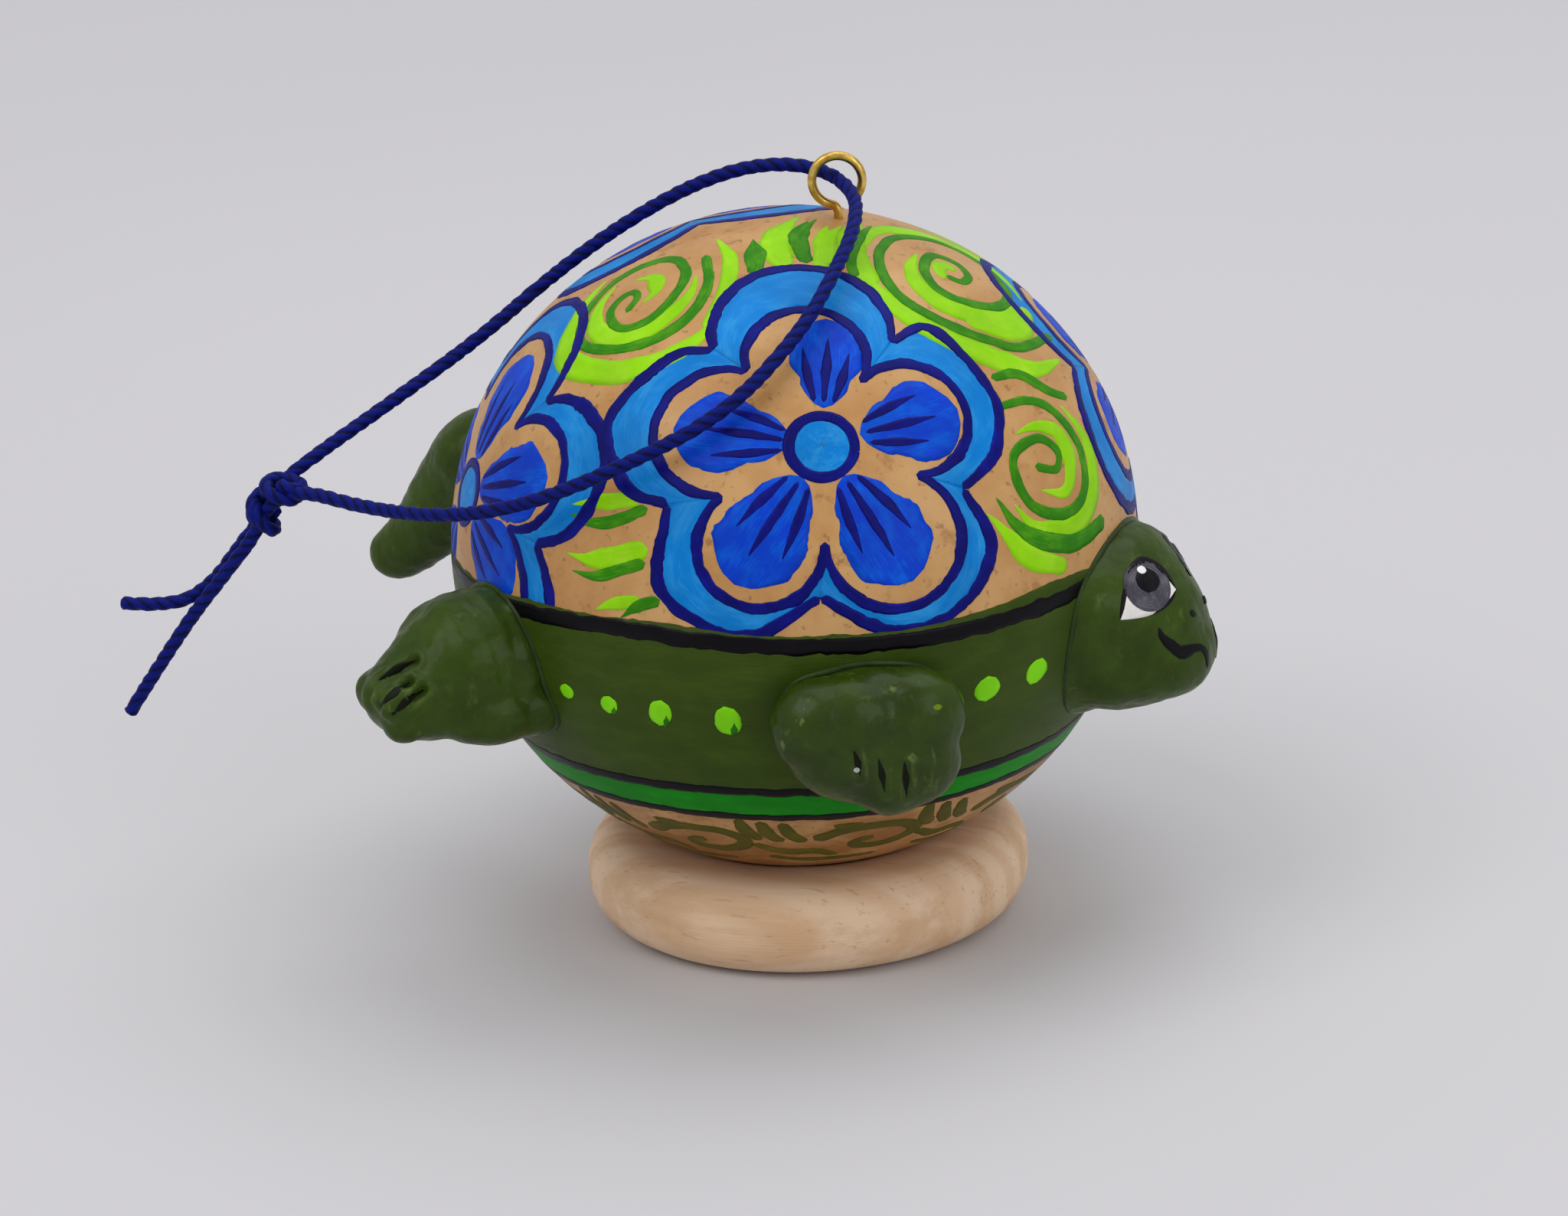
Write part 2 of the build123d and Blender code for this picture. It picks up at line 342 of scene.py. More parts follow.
@dataclass(frozen=True)
class DriedGourdSkin:
    """Dried, varnished gourd skin, tan above and browner below."""

    name: str = "dried_gourd_skin"
    pale: Triple = (200, 156, 100)
    tan: Triple = (182, 132, 76)
    brown: Triple = (136, 84, 30)

    def build(self, centre: Vector, radii: Vector) -> bpy.types.Material:
        """The finished material for a gourd of this place and size, in millimetres."""
        made, bench, shader = start_finish(self.name, 0.42, 0.1, 0.16, 0.25)
        place = bench.put("ShaderNodeTexCoord").outputs["Object"]
        patch = bench.put("ShaderNodeGroup", node_tree=EFFECTS.mottle)
        patch.inputs["Size"].default_value = 110.0
        bench.tree.links.new(place, patch.inputs["Vector"])
        colour = bench.mixed(patch.outputs["Patches"], rgb(*self.pale), rgb(*self.tan))
        height = bench.put("ShaderNodeSeparateXYZ", {0: place}).outputs[2]
        foot = (centre.z - radii.z) * MM
        low = bench.span(height, foot, foot + 1.1 * radii.z * MM, 1.2, 0.0)
        blotch = bench.cloud(bench.placed(place, (1.0, 1.0, 2.2)), 62.0, 6.0, 0.66)
        shade = bench.maths("MULTIPLY", low, bench.span(blotch, 0.3, 0.62), clamp=True)
        colour = bench.mixed(shade, colour, rgb(*self.brown))
        stain = bench.span(bench.cloud(place, 240.0, 5.0, 0.7), 0.56, 0.7, 0.0, 0.5)
        colour = bench.mixed(stain, colour, rgb(*self.brown))
        colour = bench.mixed(bench.maths("MULTIPLY", patch.outputs["Specks"], 0.45), colour, rgb(104, 64, 30))
        bench.tree.links.new(colour, shader.inputs["Base Color"])
        bench.tree.links.new(bench.span(blotch, 0.3, 0.7, 0.32, 0.5), shader.inputs["Roughness"])
        pitted = bench.maths("ADD", blotch, bench.maths("MULTIPLY", patch.outputs["Specks"], -0.4))
        roughen(bench, shader, pitted, 0.25, 0.0002)
        return made


@dataclass(frozen=True)
class PaintedClay:
    """Modelled clay under olive paint, paler where it stands proud: partly rubbed wear, partly a painted
    highlight on its edges.
    """

    name: str
    body: Triple = (54, 76, 10)
    dark: Triple = (34, 50, 4)
    worn_and_lit: Triple = (104, 122, 58)
    edge_wear_and_light: float = 0.5
    coat: float = 0.14

    def build(self) -> bpy.types.Material:
        """The finished material."""
        made, bench, shader = start_finish(self.name, 0.42, self.coat, 0.2, 0.1)
        place = bench.put("ShaderNodeTexCoord").outputs["Object"]
        patch = bench.put("ShaderNodeGroup", node_tree=EFFECTS.mottle)
        patch.inputs["Size"].default_value = 210.0
        bench.tree.links.new(place, patch.inputs["Vector"])
        colour = bench.mixed(bench.maths("MULTIPLY", patch.outputs["Patches"], 0.6), rgb(*self.body),
                             rgb(*self.dark))
        brush = bench.cloud(bench.placed(place, (1.0, 1.0, 0.22)), 900.0, 4.0, 0.6)
        # Paler colour on convex edges: partly rubbed wear, partly a painted highlight.
        edge = bench.put("ShaderNodeGroup", node_tree=EFFECTS.edges)
        edge.inputs["Low"].default_value = 0.5
        edge.inputs["High"].default_value = 0.6
        rubbed_and_lit = bench.maths("MULTIPLY", edge.outputs["WornAndLit"], bench.span(brush, 0.42, 0.62), clamp=True)
        dry = bench.maths(
            "MULTIPLY", bench.span(bench.cloud(place, 260.0, 6.0, 0.7), 0.54, 0.68),
            bench.span(brush, 0.5, 0.6)
        )
        share = bench.maths("ADD", bench.maths("MULTIPLY", rubbed_and_lit, self.edge_wear_and_light),
                            bench.maths("MULTIPLY", dry, 0.32), clamp=True)
        colour = bench.mixed(share, colour, rgb(*self.worn_and_lit))
        bench.tree.links.new(colour, shader.inputs["Base Color"])
        bench.tree.links.new(bench.span(brush, 0.3, 0.7, 0.3, 0.52), shader.inputs["Roughness"])
        dents = bench.cloud(place, 420.0, 4.0, 0.6)
        roughen(bench, shader, bench.maths("ADD", dents, bench.maths("MULTIPLY", brush, 0.45)), 0.6, 0.0003)
        return made


@dataclass(frozen=True)
class TurnedWood:
    """Pale sanded maple, turned on a lathe."""

    name: str = "turned_maple"

    def build(self) -> bpy.types.Material:
        """The finished material."""
        made, bench, shader = start_finish(self.name, 0.6, 0.0, 0.4, 0.3)
        place = bench.put("ShaderNodeTexCoord").outputs["Object"]
        bent = bench.put("ShaderNodeVectorMath", {0: place, 1: (0.02, 0.055, 0.0)},
                         operation="ADD").outputs[0]
        grain = bench.cloud(bench.placed(bent, (0.16, 1.0, 1.0)), 260.0, 5.0, 0.6)
        rings = bench.put(
            "ShaderNodeTexWave",
            {"Vector": bench.placed(bent, (0.12, 1.0, 0.9)), "Scale": 62.0, "Distortion": 5.0, "Detail": 3.0,
             "Detail Scale": 1.4},
            bands_direction="Y",
        ).outputs["Fac"]
        colour = bench.mixed(bench.span(rings, 0.2, 0.95, 0.0, 0.55), rgb(234, 204, 172), rgb(220, 180, 140))
        colour = bench.mixed(bench.span(grain, 0.45, 0.68, 0.0, 0.5), colour, rgb(202, 158, 114))
        flecks = bench.cloud(bench.placed(bent, (0.12, 1.0, 1.0)), 1900.0, 2.0)
        pores = bench.span(flecks, 0.62, 0.72, 0.0, 0.4)
        colour = bench.mixed(pores, colour, rgb(178, 134, 92))
        bench.tree.links.new(colour, shader.inputs["Base Color"])
        tool = bench.put(
            "ShaderNodeTexWave", {"Vector": place, "Scale": 900.0, "Distortion": 0.6, "Detail": 1.0},
            bands_direction="Z",
        ).outputs["Fac"]
        roughen(bench, shader, bench.maths("ADD", bench.maths("MULTIPLY", tool, 0.3), grain), 0.22, 0.00012)
        return made


@dataclass(frozen=True)
class BrassWire:
    """Bright brass wire with light handling marks."""

    name: str = "brass_wire"

    def build(self) -> bpy.types.Material:
        """The finished material."""
        made, bench, shader = start_finish(self.name, 0.26)
        shader.inputs["Metallic"].default_value = 1.0
        place = bench.put("ShaderNodeTexCoord").outputs["Object"]
        dull = bench.cloud(place, 700.0, 4.0, 0.6)
        colour = bench.mixed(bench.span(dull, 0.35, 0.7), rgb(232, 196, 104), rgb(186, 140, 58))
        bench.tree.links.new(colour, shader.inputs["Base Color"])
        bench.tree.links.new(bench.span(dull, 0.3, 0.7, 0.2, 0.42), shader.inputs["Roughness"])
        roughen(bench, shader, bench.cloud(place, 3200.0, 3.0), 0.12, 0.00005)
        return made


@dataclass(frozen=True)
class WaxedCotton:
    """Deep blue waxed cotton cord, with painted shade: darker in the twist's grooves, lighter on the strands'
    crowns.
    """

    name: str = "waxed_cotton"

    def build(self) -> bpy.types.Material:
        """The finished material; it reads the "stroke" attribute for the length of the twist and for how deep
        each spot lies in it, which sets the painted shade.
        """
        made, bench, shader = start_finish(self.name, 0.55, 0.0, 0.35, 0.1)
        shader.inputs["Sheen Weight"].default_value = 0.03
        shader.inputs["Sheen Roughness"].default_value = 0.4
        marks = bench.put("ShaderNodeAttribute", attribute_name="stroke").outputs["Vector"]
        depth = bench.put("ShaderNodeSeparateXYZ", {0: marks}).outputs[1]
        place = bench.put("ShaderNodeTexCoord").outputs["Object"]
        fibre = bench.cloud(place, 2600.0, 4.0, 0.65)
        # Painted shade: the twist's grooves get the dark blue and the strands' crowns the lighter blue.
        colour = bench.mixed(bench.span(depth, 0.1, 0.85), rgb(2, 4, 44), rgb(4, 18, 112))
        colour = bench.mixed(bench.span(fibre, 0.5, 0.72, 0.0, 0.4), colour, rgb(18, 40, 150))
        bench.tree.links.new(colour, shader.inputs["Base Color"])
        bench.tree.links.new(bench.span(fibre, 0.3, 0.7, 0.45, 0.7), shader.inputs["Roughness"])
        roughen(bench, shader, fibre, 0.5, 0.00012)
        return made


@dataclass(frozen=True)
class SeedHull:
    """Dry cream seed hulls."""

    name: str = "seed_hull"

    def build(self) -> bpy.types.Material:
        """The finished material."""
        made, bench, shader = start_finish(self.name, 0.7)
        place = bench.put("ShaderNodeTexCoord").outputs["Object"]
        husk = bench.cloud(place, 900.0, 4.0)
        colour = bench.mixed(bench.span(husk, 0.3, 0.7), rgb(222, 204, 160), rgb(160, 128, 82))
        bench.tree.links.new(colour, shader.inputs["Base Color"])
        roughen(bench, shader, husk, 0.3, 0.0002)
        return made


@dataclass(frozen=True)
class PaperSweep:
    """Pale grey studio paper."""

    name: str = "studio_paper"

    def build(self) -> bpy.types.Material:
        """The finished material."""
        made, bench, shader = start_finish(self.name, 0.78)
        place = bench.put("ShaderNodeTexCoord").outputs["Object"]
        tone = bench.cloud(place, 3.0, 2.0)
        colour = bench.mixed(tone, rgb(206, 205, 207), rgb(200, 199, 203))
        bench.tree.links.new(colour, shader.inputs["Base Color"])
        roughen(bench, shader, bench.cloud(place, 2400.0, 2.0), 0.04, 0.0001)
        return made


# ---------------------------------------------------------------- surfaces to paint on


@dataclass(frozen=True)
class GourdForm:
    """The gourd's slightly uneven skin, in millimetres."""

    centre: Vector
    radii: Vector
    unevenness: float = 0.12

    def normal(self, way: Vector) -> Vector:
        """The outward normal where a unit direction meets the skin."""
        return Vector((way.x / self.radii.x, way.y / self.radii.y, way.z / self.radii.z)).normalized()

    def skin(self, way: Vector, lift: float = 0.0) -> Vector:
        """The point of the skin in a unit direction, raised by lift."""
        bump = self.unevenness * noise.noise(way * 2.3 + Vector((3.1, 0.0, 7.7)))
        flat = Vector((way.x * self.radii.x, way.y * self.radii.y, way.z * self.radii.z))
        return self.centre + flat + self.normal(way) * (bump + lift)

    def way_to(self, point: Vector) -> Vector:
        """The unit direction of a point, as skin() takes it."""
        off = point - self.centre
        return Vector((off.x / self.radii.x, off.y / self.radii.y, off.z / self.radii.z)).normalized()

    def height(self, point: Vector) -> float:
        """How far a point stands over the skin, negative inside."""
        way = self.way_to(point)
        return (point - self.skin(way)).dot(self.normal(way))


class Canvas:
    """Something flat coordinates can be painted on."""

    def spot(self, across: float, up: float) -> tuple[Vector, Vector]:
        """The surface point and its outward normal."""
        raise NotImplementedError


@dataclass(frozen=True)
class SkinChart(Canvas):
    """Flat millimetres around a point of the gourd: right and up as seen from outside."""

    form: GourdForm
    longitude: float
    latitude: float

    def spot(self, across: float, up: float) -> tuple[Vector, Vector]:
        """The surface point and its outward normal."""
        lon, lat = math.radians(self.longitude), math.radians(self.latitude)
        out = Vector((math.cos(lat) * math.cos(lon), math.cos(lat) * math.sin(lon), math.sin(lat)))
        right = Vector((-math.sin(lon), math.cos(lon), 0.0))
        reach = math.hypot(across, up)
        turn = reach / self.form.radii.x
        if reach < 1e-9:
            way = out
        else:
            side = (right * across + out.cross(right) * up) / reach
            way = out * math.cos(turn) + side * math.sin(turn)
        return self.form.skin(way), self.form.normal(way)


@dataclass(frozen=True)
class GirdleChart(Canvas):
    """Degrees of longitude and latitude on the gourd."""

    form: GourdForm

    def spot(self, across: float, up: float) -> tuple[Vector, Vector]:
        """The surface point and its outward normal."""
        lon, lat = math.radians(across), math.radians(up)
        way = Vector((math.cos(lat) * math.cos(lon), math.cos(lat) * math.sin(lon), math.sin(lat)))
        return self.form.skin(way), self.form.normal(way)


@dataclass
class SculptChart(Canvas):
    """A modelled limb, painted along one slanting direction.

    Args:
        tree: The limb's surface in the row frame, in millimetres.
        place: The limb frame.
        plane: How far out the sheet of flat coordinates stands, tangentially or radially.
        slant: The direction the brush comes from, in the limb frame.
        radial: True where flat coordinates are tangential and up, and not radial and up.
    """

    tree: BVHTree
    place: Matrix
    plane: float
    slant: Vector
    radial: bool = False

    def spot(self, across: float, up: float) -> tuple[Vector, Vector]:
        """The surface point and its outward normal."""
        local = Vector((self.plane, across, up)) if self.radial else Vector((across, self.plane, up))
        turned = self.place.to_3x3()
        start = self.place @ (local + self.slant * BRUSH_START)
        hit, normal, _, _ = self.tree.ray_cast(start, -(turned @ self.slant), BRUSH_REACH)
        if hit is None:
            hit, normal, _, _ = self.tree.find_nearest(self.place @ local)
        return hit, normal


# ---------------------------------------------------------------- brush work


def smooth_line(points: Flat, step: float = 0.45) -> list[Vector]:
    """A line that runs smoothly through its points.

    Args:
        points: Flat points.
        step: About how far apart the returned points are.

    Returns:
        The line's points.
    """
    given = [Vector(p) for p in points]
    ends = [given[0] * 2 - given[1], *given, given[-1] * 2 - given[-2]]
    line: list[Vector] = []
    for a, b, c, d in zip(ends, ends[1:], ends[2:], ends[3:]):
        count = max(2, math.ceil((c - b).length / step))
        for i in range(count):
            t = i / count
            line.append(0.5 * ((2 * b) + (c - a) * t + (2 * a - 5 * b + 4 * c - d) * t * t
                               + (3 * b - a - 3 * c + d) * t ** 3))
    return [*line, given[-1]]


def even_line(line: Sequence[Vector], count: int) -> list[Vector]:
    """The same line with evenly spaced points."""
    runs = [0.0]
    for a, b in zip(line, line[1:]):
        runs.append(runs[-1] + (b - a).length)
    found, j = [], 0
    for i in range(count):
        want = runs[-1] * i / (count - 1)
        while j < len(runs) - 2 and runs[j + 1] < want:
            j += 1
        share = (want - runs[j]) / max(1e-9, runs[j + 1] - runs[j])
        found.append(line[j].lerp(line[j + 1], min(1.0, max(0.0, share))))
    return found


def lobe_line(points: Flat, count: int = 40) -> list[Vector]:
    """One scallop from cusp to cusp: an arc through three points, or a curve through more."""
    spots = [Vector(p) for p in points]
    if len(spots) > 3:
        return even_line(smooth_line(points, 0.4), count)
    a, b, c = spots
    d = 2 * (a.x * (b.y - c.y) + b.x * (c.y - a.y) + c.x * (a.y - b.y))
    aa, bb, cc = a.length_squared, b.length_squared, c.length_squared
    hub = Vector(((aa * (b.y - c.y) + bb * (c.y - a.y) + cc * (a.y - b.y)) / d,
                  (aa * (c.x - b.x) + bb * (a.x - c.x) + cc * (b.x - a.x)) / d))
    first, middle, last = (math.atan2(p.y - hub.y, p.x - hub.x) for p in spots)
    sweep, through = (last - first) % math.tau, (middle - first) % math.tau
    if through > sweep:
        sweep -= math.tau
    radius = (a - hub).length
    return [hub + Vector((math.cos(first + sweep * i / (count - 1)),
                          math.sin(first + sweep * i / (count - 1))))
            * radius for i in range(count)]


def polar(reach: float, degrees: float) -> Pair:
    """A flat point from its reach and direction."""
    return (reach * math.cos(math.radians(degrees)), reach * math.sin(math.radians(degrees)))


@dataclass
class PaintCoat:
    """One colour of paint: many strokes and filled patches in one mesh.

    Args:
        name: The piece's name.
        paint: Its finish.
        lift: How far the coat stands over the surface, in millimetres.
        seed: Start of the hand's unevenness.
        fullness: How much wider than asked the brush lays this colour.
    """

    name: str
    paint: BrushedPaint
    lift: float
    seed: float = 1.0
    fullness: float = 1.0

    def __post_init__(self) -> None:
        """Start an empty mesh with the brush's marks on its vertices."""
        self.mesh = bmesh.new()
        self.marks = self.mesh.verts.layers.float_vector.new("stroke")
        self.rise = self.mesh.verts.layers.float_vector.new("rise")
        self.count = 0

    def _lay(self, along: int, across: int, place: Callable[[float, float], tuple],
             closed: bool = False) -> None:
        """Lay one sheet of paint and give it its thickness.

        Args:
            along: Steps along the brush's way.
            across: Steps across it.
            place: Gives a point, its normal and its marks for shares from 0 to 1 along and -1 to 1 across.
            closed: Whether the sheet's ends meet.
        """
        made = bmesh.ops.create_grid(self.mesh, x_segments=along, y_segments=across, size=1.0)
        verts = made["verts"]
        faces = list({face for vert in verts for face in vert.link_faces})
        for vert in verts:
            side = vert.co.y
            point, normal, marks = place((vert.co.x + 1.0) / 2.0, side)
            vert.co = point - normal * PAINT_ROOT
            vert[self.rise] = normal * (PAINT_ROOT + self.lift * (1.0 - 0.12 * side * side))
            vert[self.marks] = marks
        if closed:
            bmesh.ops.remove_doubles(self.mesh, verts=verts, dist=0.0005)
            faces = [face for face in faces if face.is_valid]
        grown = bmesh.ops.extrude_face_region(self.mesh, geom=faces, use_keep_orig=True)
        for item in grown["geom"]:
            if isinstance(item, bmesh.types.BMVert):
                item.co += item[self.rise]
        self.count += 1

    def stroke(self, canvas: Canvas, points: Flat | Sequence[Vector], widths: float | Sequence[float],
               start: Tip = Tip.ROUND, end: Tip = Tip.ROUND, rough: float = 0.07, across: int = 4) -> None:
        """Paint one stroke.

        Args:
            canvas: What it is painted on.
            points: The stroke's line.
            widths: Its width, or widths spaced evenly along it.
            start: How it starts.
            end: How it ends.
            rough: Unevenness of its edges, as a share of its width.
            across: Steps across the stroke.
        """
        line = [Vector(p) for p in points] if len(points) > 26 else smooth_line(points)
        length = sum((b - a).length for a, b in zip(line, line[1:]))
        count = max(8, math.ceil(length / 0.42))
        line = even_line(line, count + 1)
        profile = [widths, widths] if isinstance(widths, (int, float)) else list(widths)
        profile = [wide * self.fullness for wide in profile]
        seed = self.seed + 3.7 * self.count

        def width_at(share: float) -> float:
            """The stroke's width at a share of its length, narrowed at its ends."""
            spot = share * (len(profile) - 1)
            k = min(len(profile) - 2, int(spot))
            ease = spot - k
            ease = ease * ease * (3 - 2 * ease)
            wide = profile[k] * (1 - ease) + profile[k + 1] * ease
            for tip, gone in ((start, share * length), (end, (1 - share) * length)):
                if tip is Tip.ROUND:
                    part = min(1.0, gone / max(0.05, wide * 0.5))
                    wide *= math.sqrt(max(0.0, 1 - (1 - part) ** 2)) * 0.97 + 0.03
                elif tip is Tip.TAPER:
                    part = min(1.0, gone / max(0.1, min(length * 0.45, wide * 3.2)))
                    wide *= 0.1 + 0.9 * part ** 0.75
            return wide

        def place(share: float, side: float) -> tuple:
            """A point, normal and marks of the stroke."""
            k = min(len(line) - 2, int(share * (len(line) - 1)))
            spot = line[k].lerp(line[k + 1], share * (len(line) - 1) - k)
            way = (line[min(len(line) - 1, k + 2)] - line[max(0, k - 1)]).normalized()
            run = share * length
            wide = width_at(share)
            hand = rough * (noise.noise(Vector((run * 0.55, math.copysign(2.0, side), seed)))
                            + 0.5 * noise.noise(Vector((run * 2.3, math.copysign(5.0, side), seed))))
            half = wide * 0.5 * (1.0 + 1.4 * hand)
            flat = spot + Vector((-way.y, way.x)) * (half * side)
            point, normal = canvas.spot(flat.x, flat.y)
            return point, normal, Vector((run, half * side, seed))

        self._lay(count, across, place)

    def patch(self, canvas: Canvas, lower: Sequence[Vector], upper: Sequence[Vector], closed: bool = False,
              rough: Pair = (0.15, 0.15), across: int = 8, grain: float = 1.0) -> None:
        """Fill between two lines that have the same number of points.

        Args:
            canvas: What it is painted on.
            lower: One edge.
            upper: The other edge.
            closed: Whether both lines end where they start.
            rough: Unevenness of the two edges.
            across: Steps between the edges.
            grain: Length of one step of the lines, for the brush marks.
        """
        seed = self.seed + 3.7 * self.count
        last = len(lower) - 1

        def place(share: float, side: float) -> tuple:
            """A point, normal and marks between the two lines."""
            k = min(last, round(share * last))
            a, b = lower[k], upper[k]
            way = (b - a).normalized()
            low = noise.noise(Vector((k * 0.31, 1.0, seed))) + 0.6 * noise.noise(Vector((k * 1.1, 8.0, seed)))
            high = noise.noise(Vector((k * 0.31, 4.0, seed))) + 0.6 * noise.noise(Vector((k * 1.1, 12.0,
                                                                                          seed)))
            if closed and k in (0, last):
                low = high = 0.0
            t = (side + 1) / 2
            spot = (a + way * (low * rough[0])).lerp(b + way * (high * rough[1]), t)
            point, normal = canvas.spot(spot.x, spot.y)
            return point, normal, Vector((k * grain * 0.5, t * (b - a).length * grain, seed))

        self._lay(last, across, place, closed)

    def dot(self, canvas: Canvas, middle: Pair, half: Pair, tilt: float = 0.0) -> None:
        """Press one dab of paint, with its half width, half height and tilt in degrees."""
        turn = math.radians(tilt)
        axis = Vector((-math.sin(turn), math.cos(turn)))
        hub = Vector(middle)
        self.stroke(canvas, [hub - axis * half[1], hub, hub + axis * half[1]],
                    (half[0] * 1.9, half[0] * 2.1, half[0] * 1.8), rough=0.1, across=6)

    def mirror_all(self) -> None:
        """Copy everything to the other side of the middle plane."""
        both = bmesh.ops.duplicate(self.mesh, geom=[*self.mesh.verts, *self.mesh.edges, *self.mesh.faces])
        far = [item for item in both["geom"] if isinstance(item, bmesh.types.BMVert)]
        bmesh.ops.scale(self.mesh, vec=(1.0, -1.0, 1.0), verts=far)

    def finish(self, body: Body, slot: str, replaced: Iterable[str] = ()) -> bpy.types.Object:
        """Close the coat and hand it over as a piece."""
        self.mesh.verts.layers.float_vector.remove(self.rise)
        log.info("%s: %d strokes", self.name, self.count)
        return make_piece(self.mesh, self.name, self.paint.build(), body, replaced)


def make_piece(mesh: bmesh.types.BMesh, name: str, finish: bpy.types.Material, body: Body,
               replaced: Iterable[str] = (), outward: bool = True) -> bpy.types.Object:
    """Turn a millimetre mesh into a piece of the frame.

    Args:
        mesh: The mesh, freed here.
        name: The piece's name.
        finish: Its material.
        body: The body it rides on.
        replaced: The CAD nodes it stands for.
        outward: Whether to turn every shell's faces outwards.

    Returns:
        The object.
    """
    bmesh.ops.scale(mesh, vec=(MM, MM, MM), verts=mesh.verts)
    if outward:
        bmesh.ops.recalc_face_normals(mesh, faces=mesh.faces)
    for face in mesh.faces:
        face.smooth = True
    data = bpy.data.meshes.new(name)
    mesh.to_mesh(data)
    mesh.free()
    piece = bpy.data.objects.new(name, data)
    bpy.context.scene.collection.objects.link(piece)
    data.materials.append(finish)
    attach(piece, body.value)
    names = list(replaced)
    if names:
        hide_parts(*names)
    log.info("%s: %d faces", name, len(data.polygons))
    return piece


# ---------------------------------------------------------------- studio


@dataclass
class Studio:
    """Camera, floor and soft light."""

    lens: float = 100.0
    azimuth: float = 22.0
    elevation: float = 18.74
    distance: float = 447.7
    roll: float = 2.5
    target_height: float = 32.2
    target_side: float = -1.4

    def place_camera(self) -> None:
        """Put the camera where the view is taken from."""
        az, el, roll = (math.radians(v) for v in (self.azimuth, self.elevation, self.roll))
        back = Vector((math.sin(az) * math.cos(el), -math.cos(az) * math.cos(el), math.sin(el)))
        right = Vector((math.cos(az), math.sin(az), 0.0))
        up = back.cross(right)
        aim = right * self.target_side + Vector((0.0, 0.0, self.target_height))
        side = right * math.cos(roll) - up * math.sin(roll)
        top = right * math.sin(roll) + up * math.cos(roll)
        spot = (aim + back * self.distance) * MM
        data = bpy.data.cameras.new("view")
        data.lens, data.sensor_width, data.clip_start = self.lens, 36.0, 0.02
        camera = bpy.data.objects.new("view", data)
        camera.matrix_world = Matrix.Translation(spot) @ Matrix((side, top, back)).transposed().to_4x4()
        bpy.context.scene.collection.objects.link(camera)
        bpy.context.scene.camera = camera

    def lamp(self, name: str, place: Triple, size: float, power: float, colour: Triple, aim: Triple) -> None:
        """Hang one soft square light, in metres."""
        data = bpy.data.lights.new(name, "AREA")
        data.shape, data.size, data.energy, data.color = "SQUARE", size, power, colour
        lamp = bpy.data.objects.new(name, data)
        lamp.location = place
        lamp.rotation_euler = (Vector(aim) - Vector(place)).to_track_quat("-Z", "Y").to_euler()
        bpy.context.scene.collection.objects.link(lamp)

    def build(self) -> None:
        """Set the floor, the lights and the sky."""
        sheet = bmesh.new()
        bmesh.ops.create_grid(sheet, x_segments=24, y_segments=24, size=4.0)
        data = bpy.data.meshes.new("floor")
        sheet.to_mesh(data)
        sheet.free()
        floor = bpy.data.objects.new("floor", data)
        floor.location.z = -0.0001
        bpy.context.scene.collection.objects.link(floor)
        data.materials.append(PaperSweep().build())
        self.lamp("key_light", (-0.45, -0.75, 1.1), 0.9, 5.6, (1.0, 0.985, 0.96), (0.0, 0.0, 0.04))
        self.lamp("top_light", (0.2, 0.35, 1.3), 1.3, 7.6, (0.985, 0.99, 1.0), (0.0, 0.0, 0.03))
        self.lamp("side_light", (1.0, -0.5, 0.55), 0.7, 2.5, (1.0, 0.98, 0.95), (0.0, 0.0, 0.04))
        world = bpy.data.worlds.new("studio")
        world.use_nodes = True
        bench = Bench(world.node_tree)
        world.node_tree.nodes.clear()
        glow = bench.put("ShaderNodeBackground", {"Color": rgb(232, 231, 234), "Strength": 0.66})
        bench.put("ShaderNodeOutputWorld", {"Surface": glow.outputs[0]})
        bpy.context.scene.world = world
        bpy.context.scene.view_settings.view_transform = "Standard"


# ---------------------------------------------------------------- cord


def route_line(name: str, route: Sequence[Triple]) -> list[Vector]:
    """The smooth spline of a cord's route, as close points in millimetres."""
    data = bpy.data.curves.new(name, "CURVE")
    data.dimensions = "3D"
    data.resolution_u = 24
    spline = data.splines.new("NURBS")
    spline.points.add(len(route) - 1)
    for point, spot in zip(spline.points, route):
        point.co = (*spot, 1.0)
    spline.order_u = 3
    spline.use_endpoint_u = True
    holder = bpy.data.objects.new(name, data)
    bpy.context.scene.collection.objects.link(holder)
    mesh = bpy.data.meshes.new_from_object(holder)
    line = [vert.co.copy() for vert in mesh.vertices]
    bpy.data.objects.remove(holder)
    bpy.data.curves.remove(data)
    bpy.data.meshes.remove(mesh)
    return line


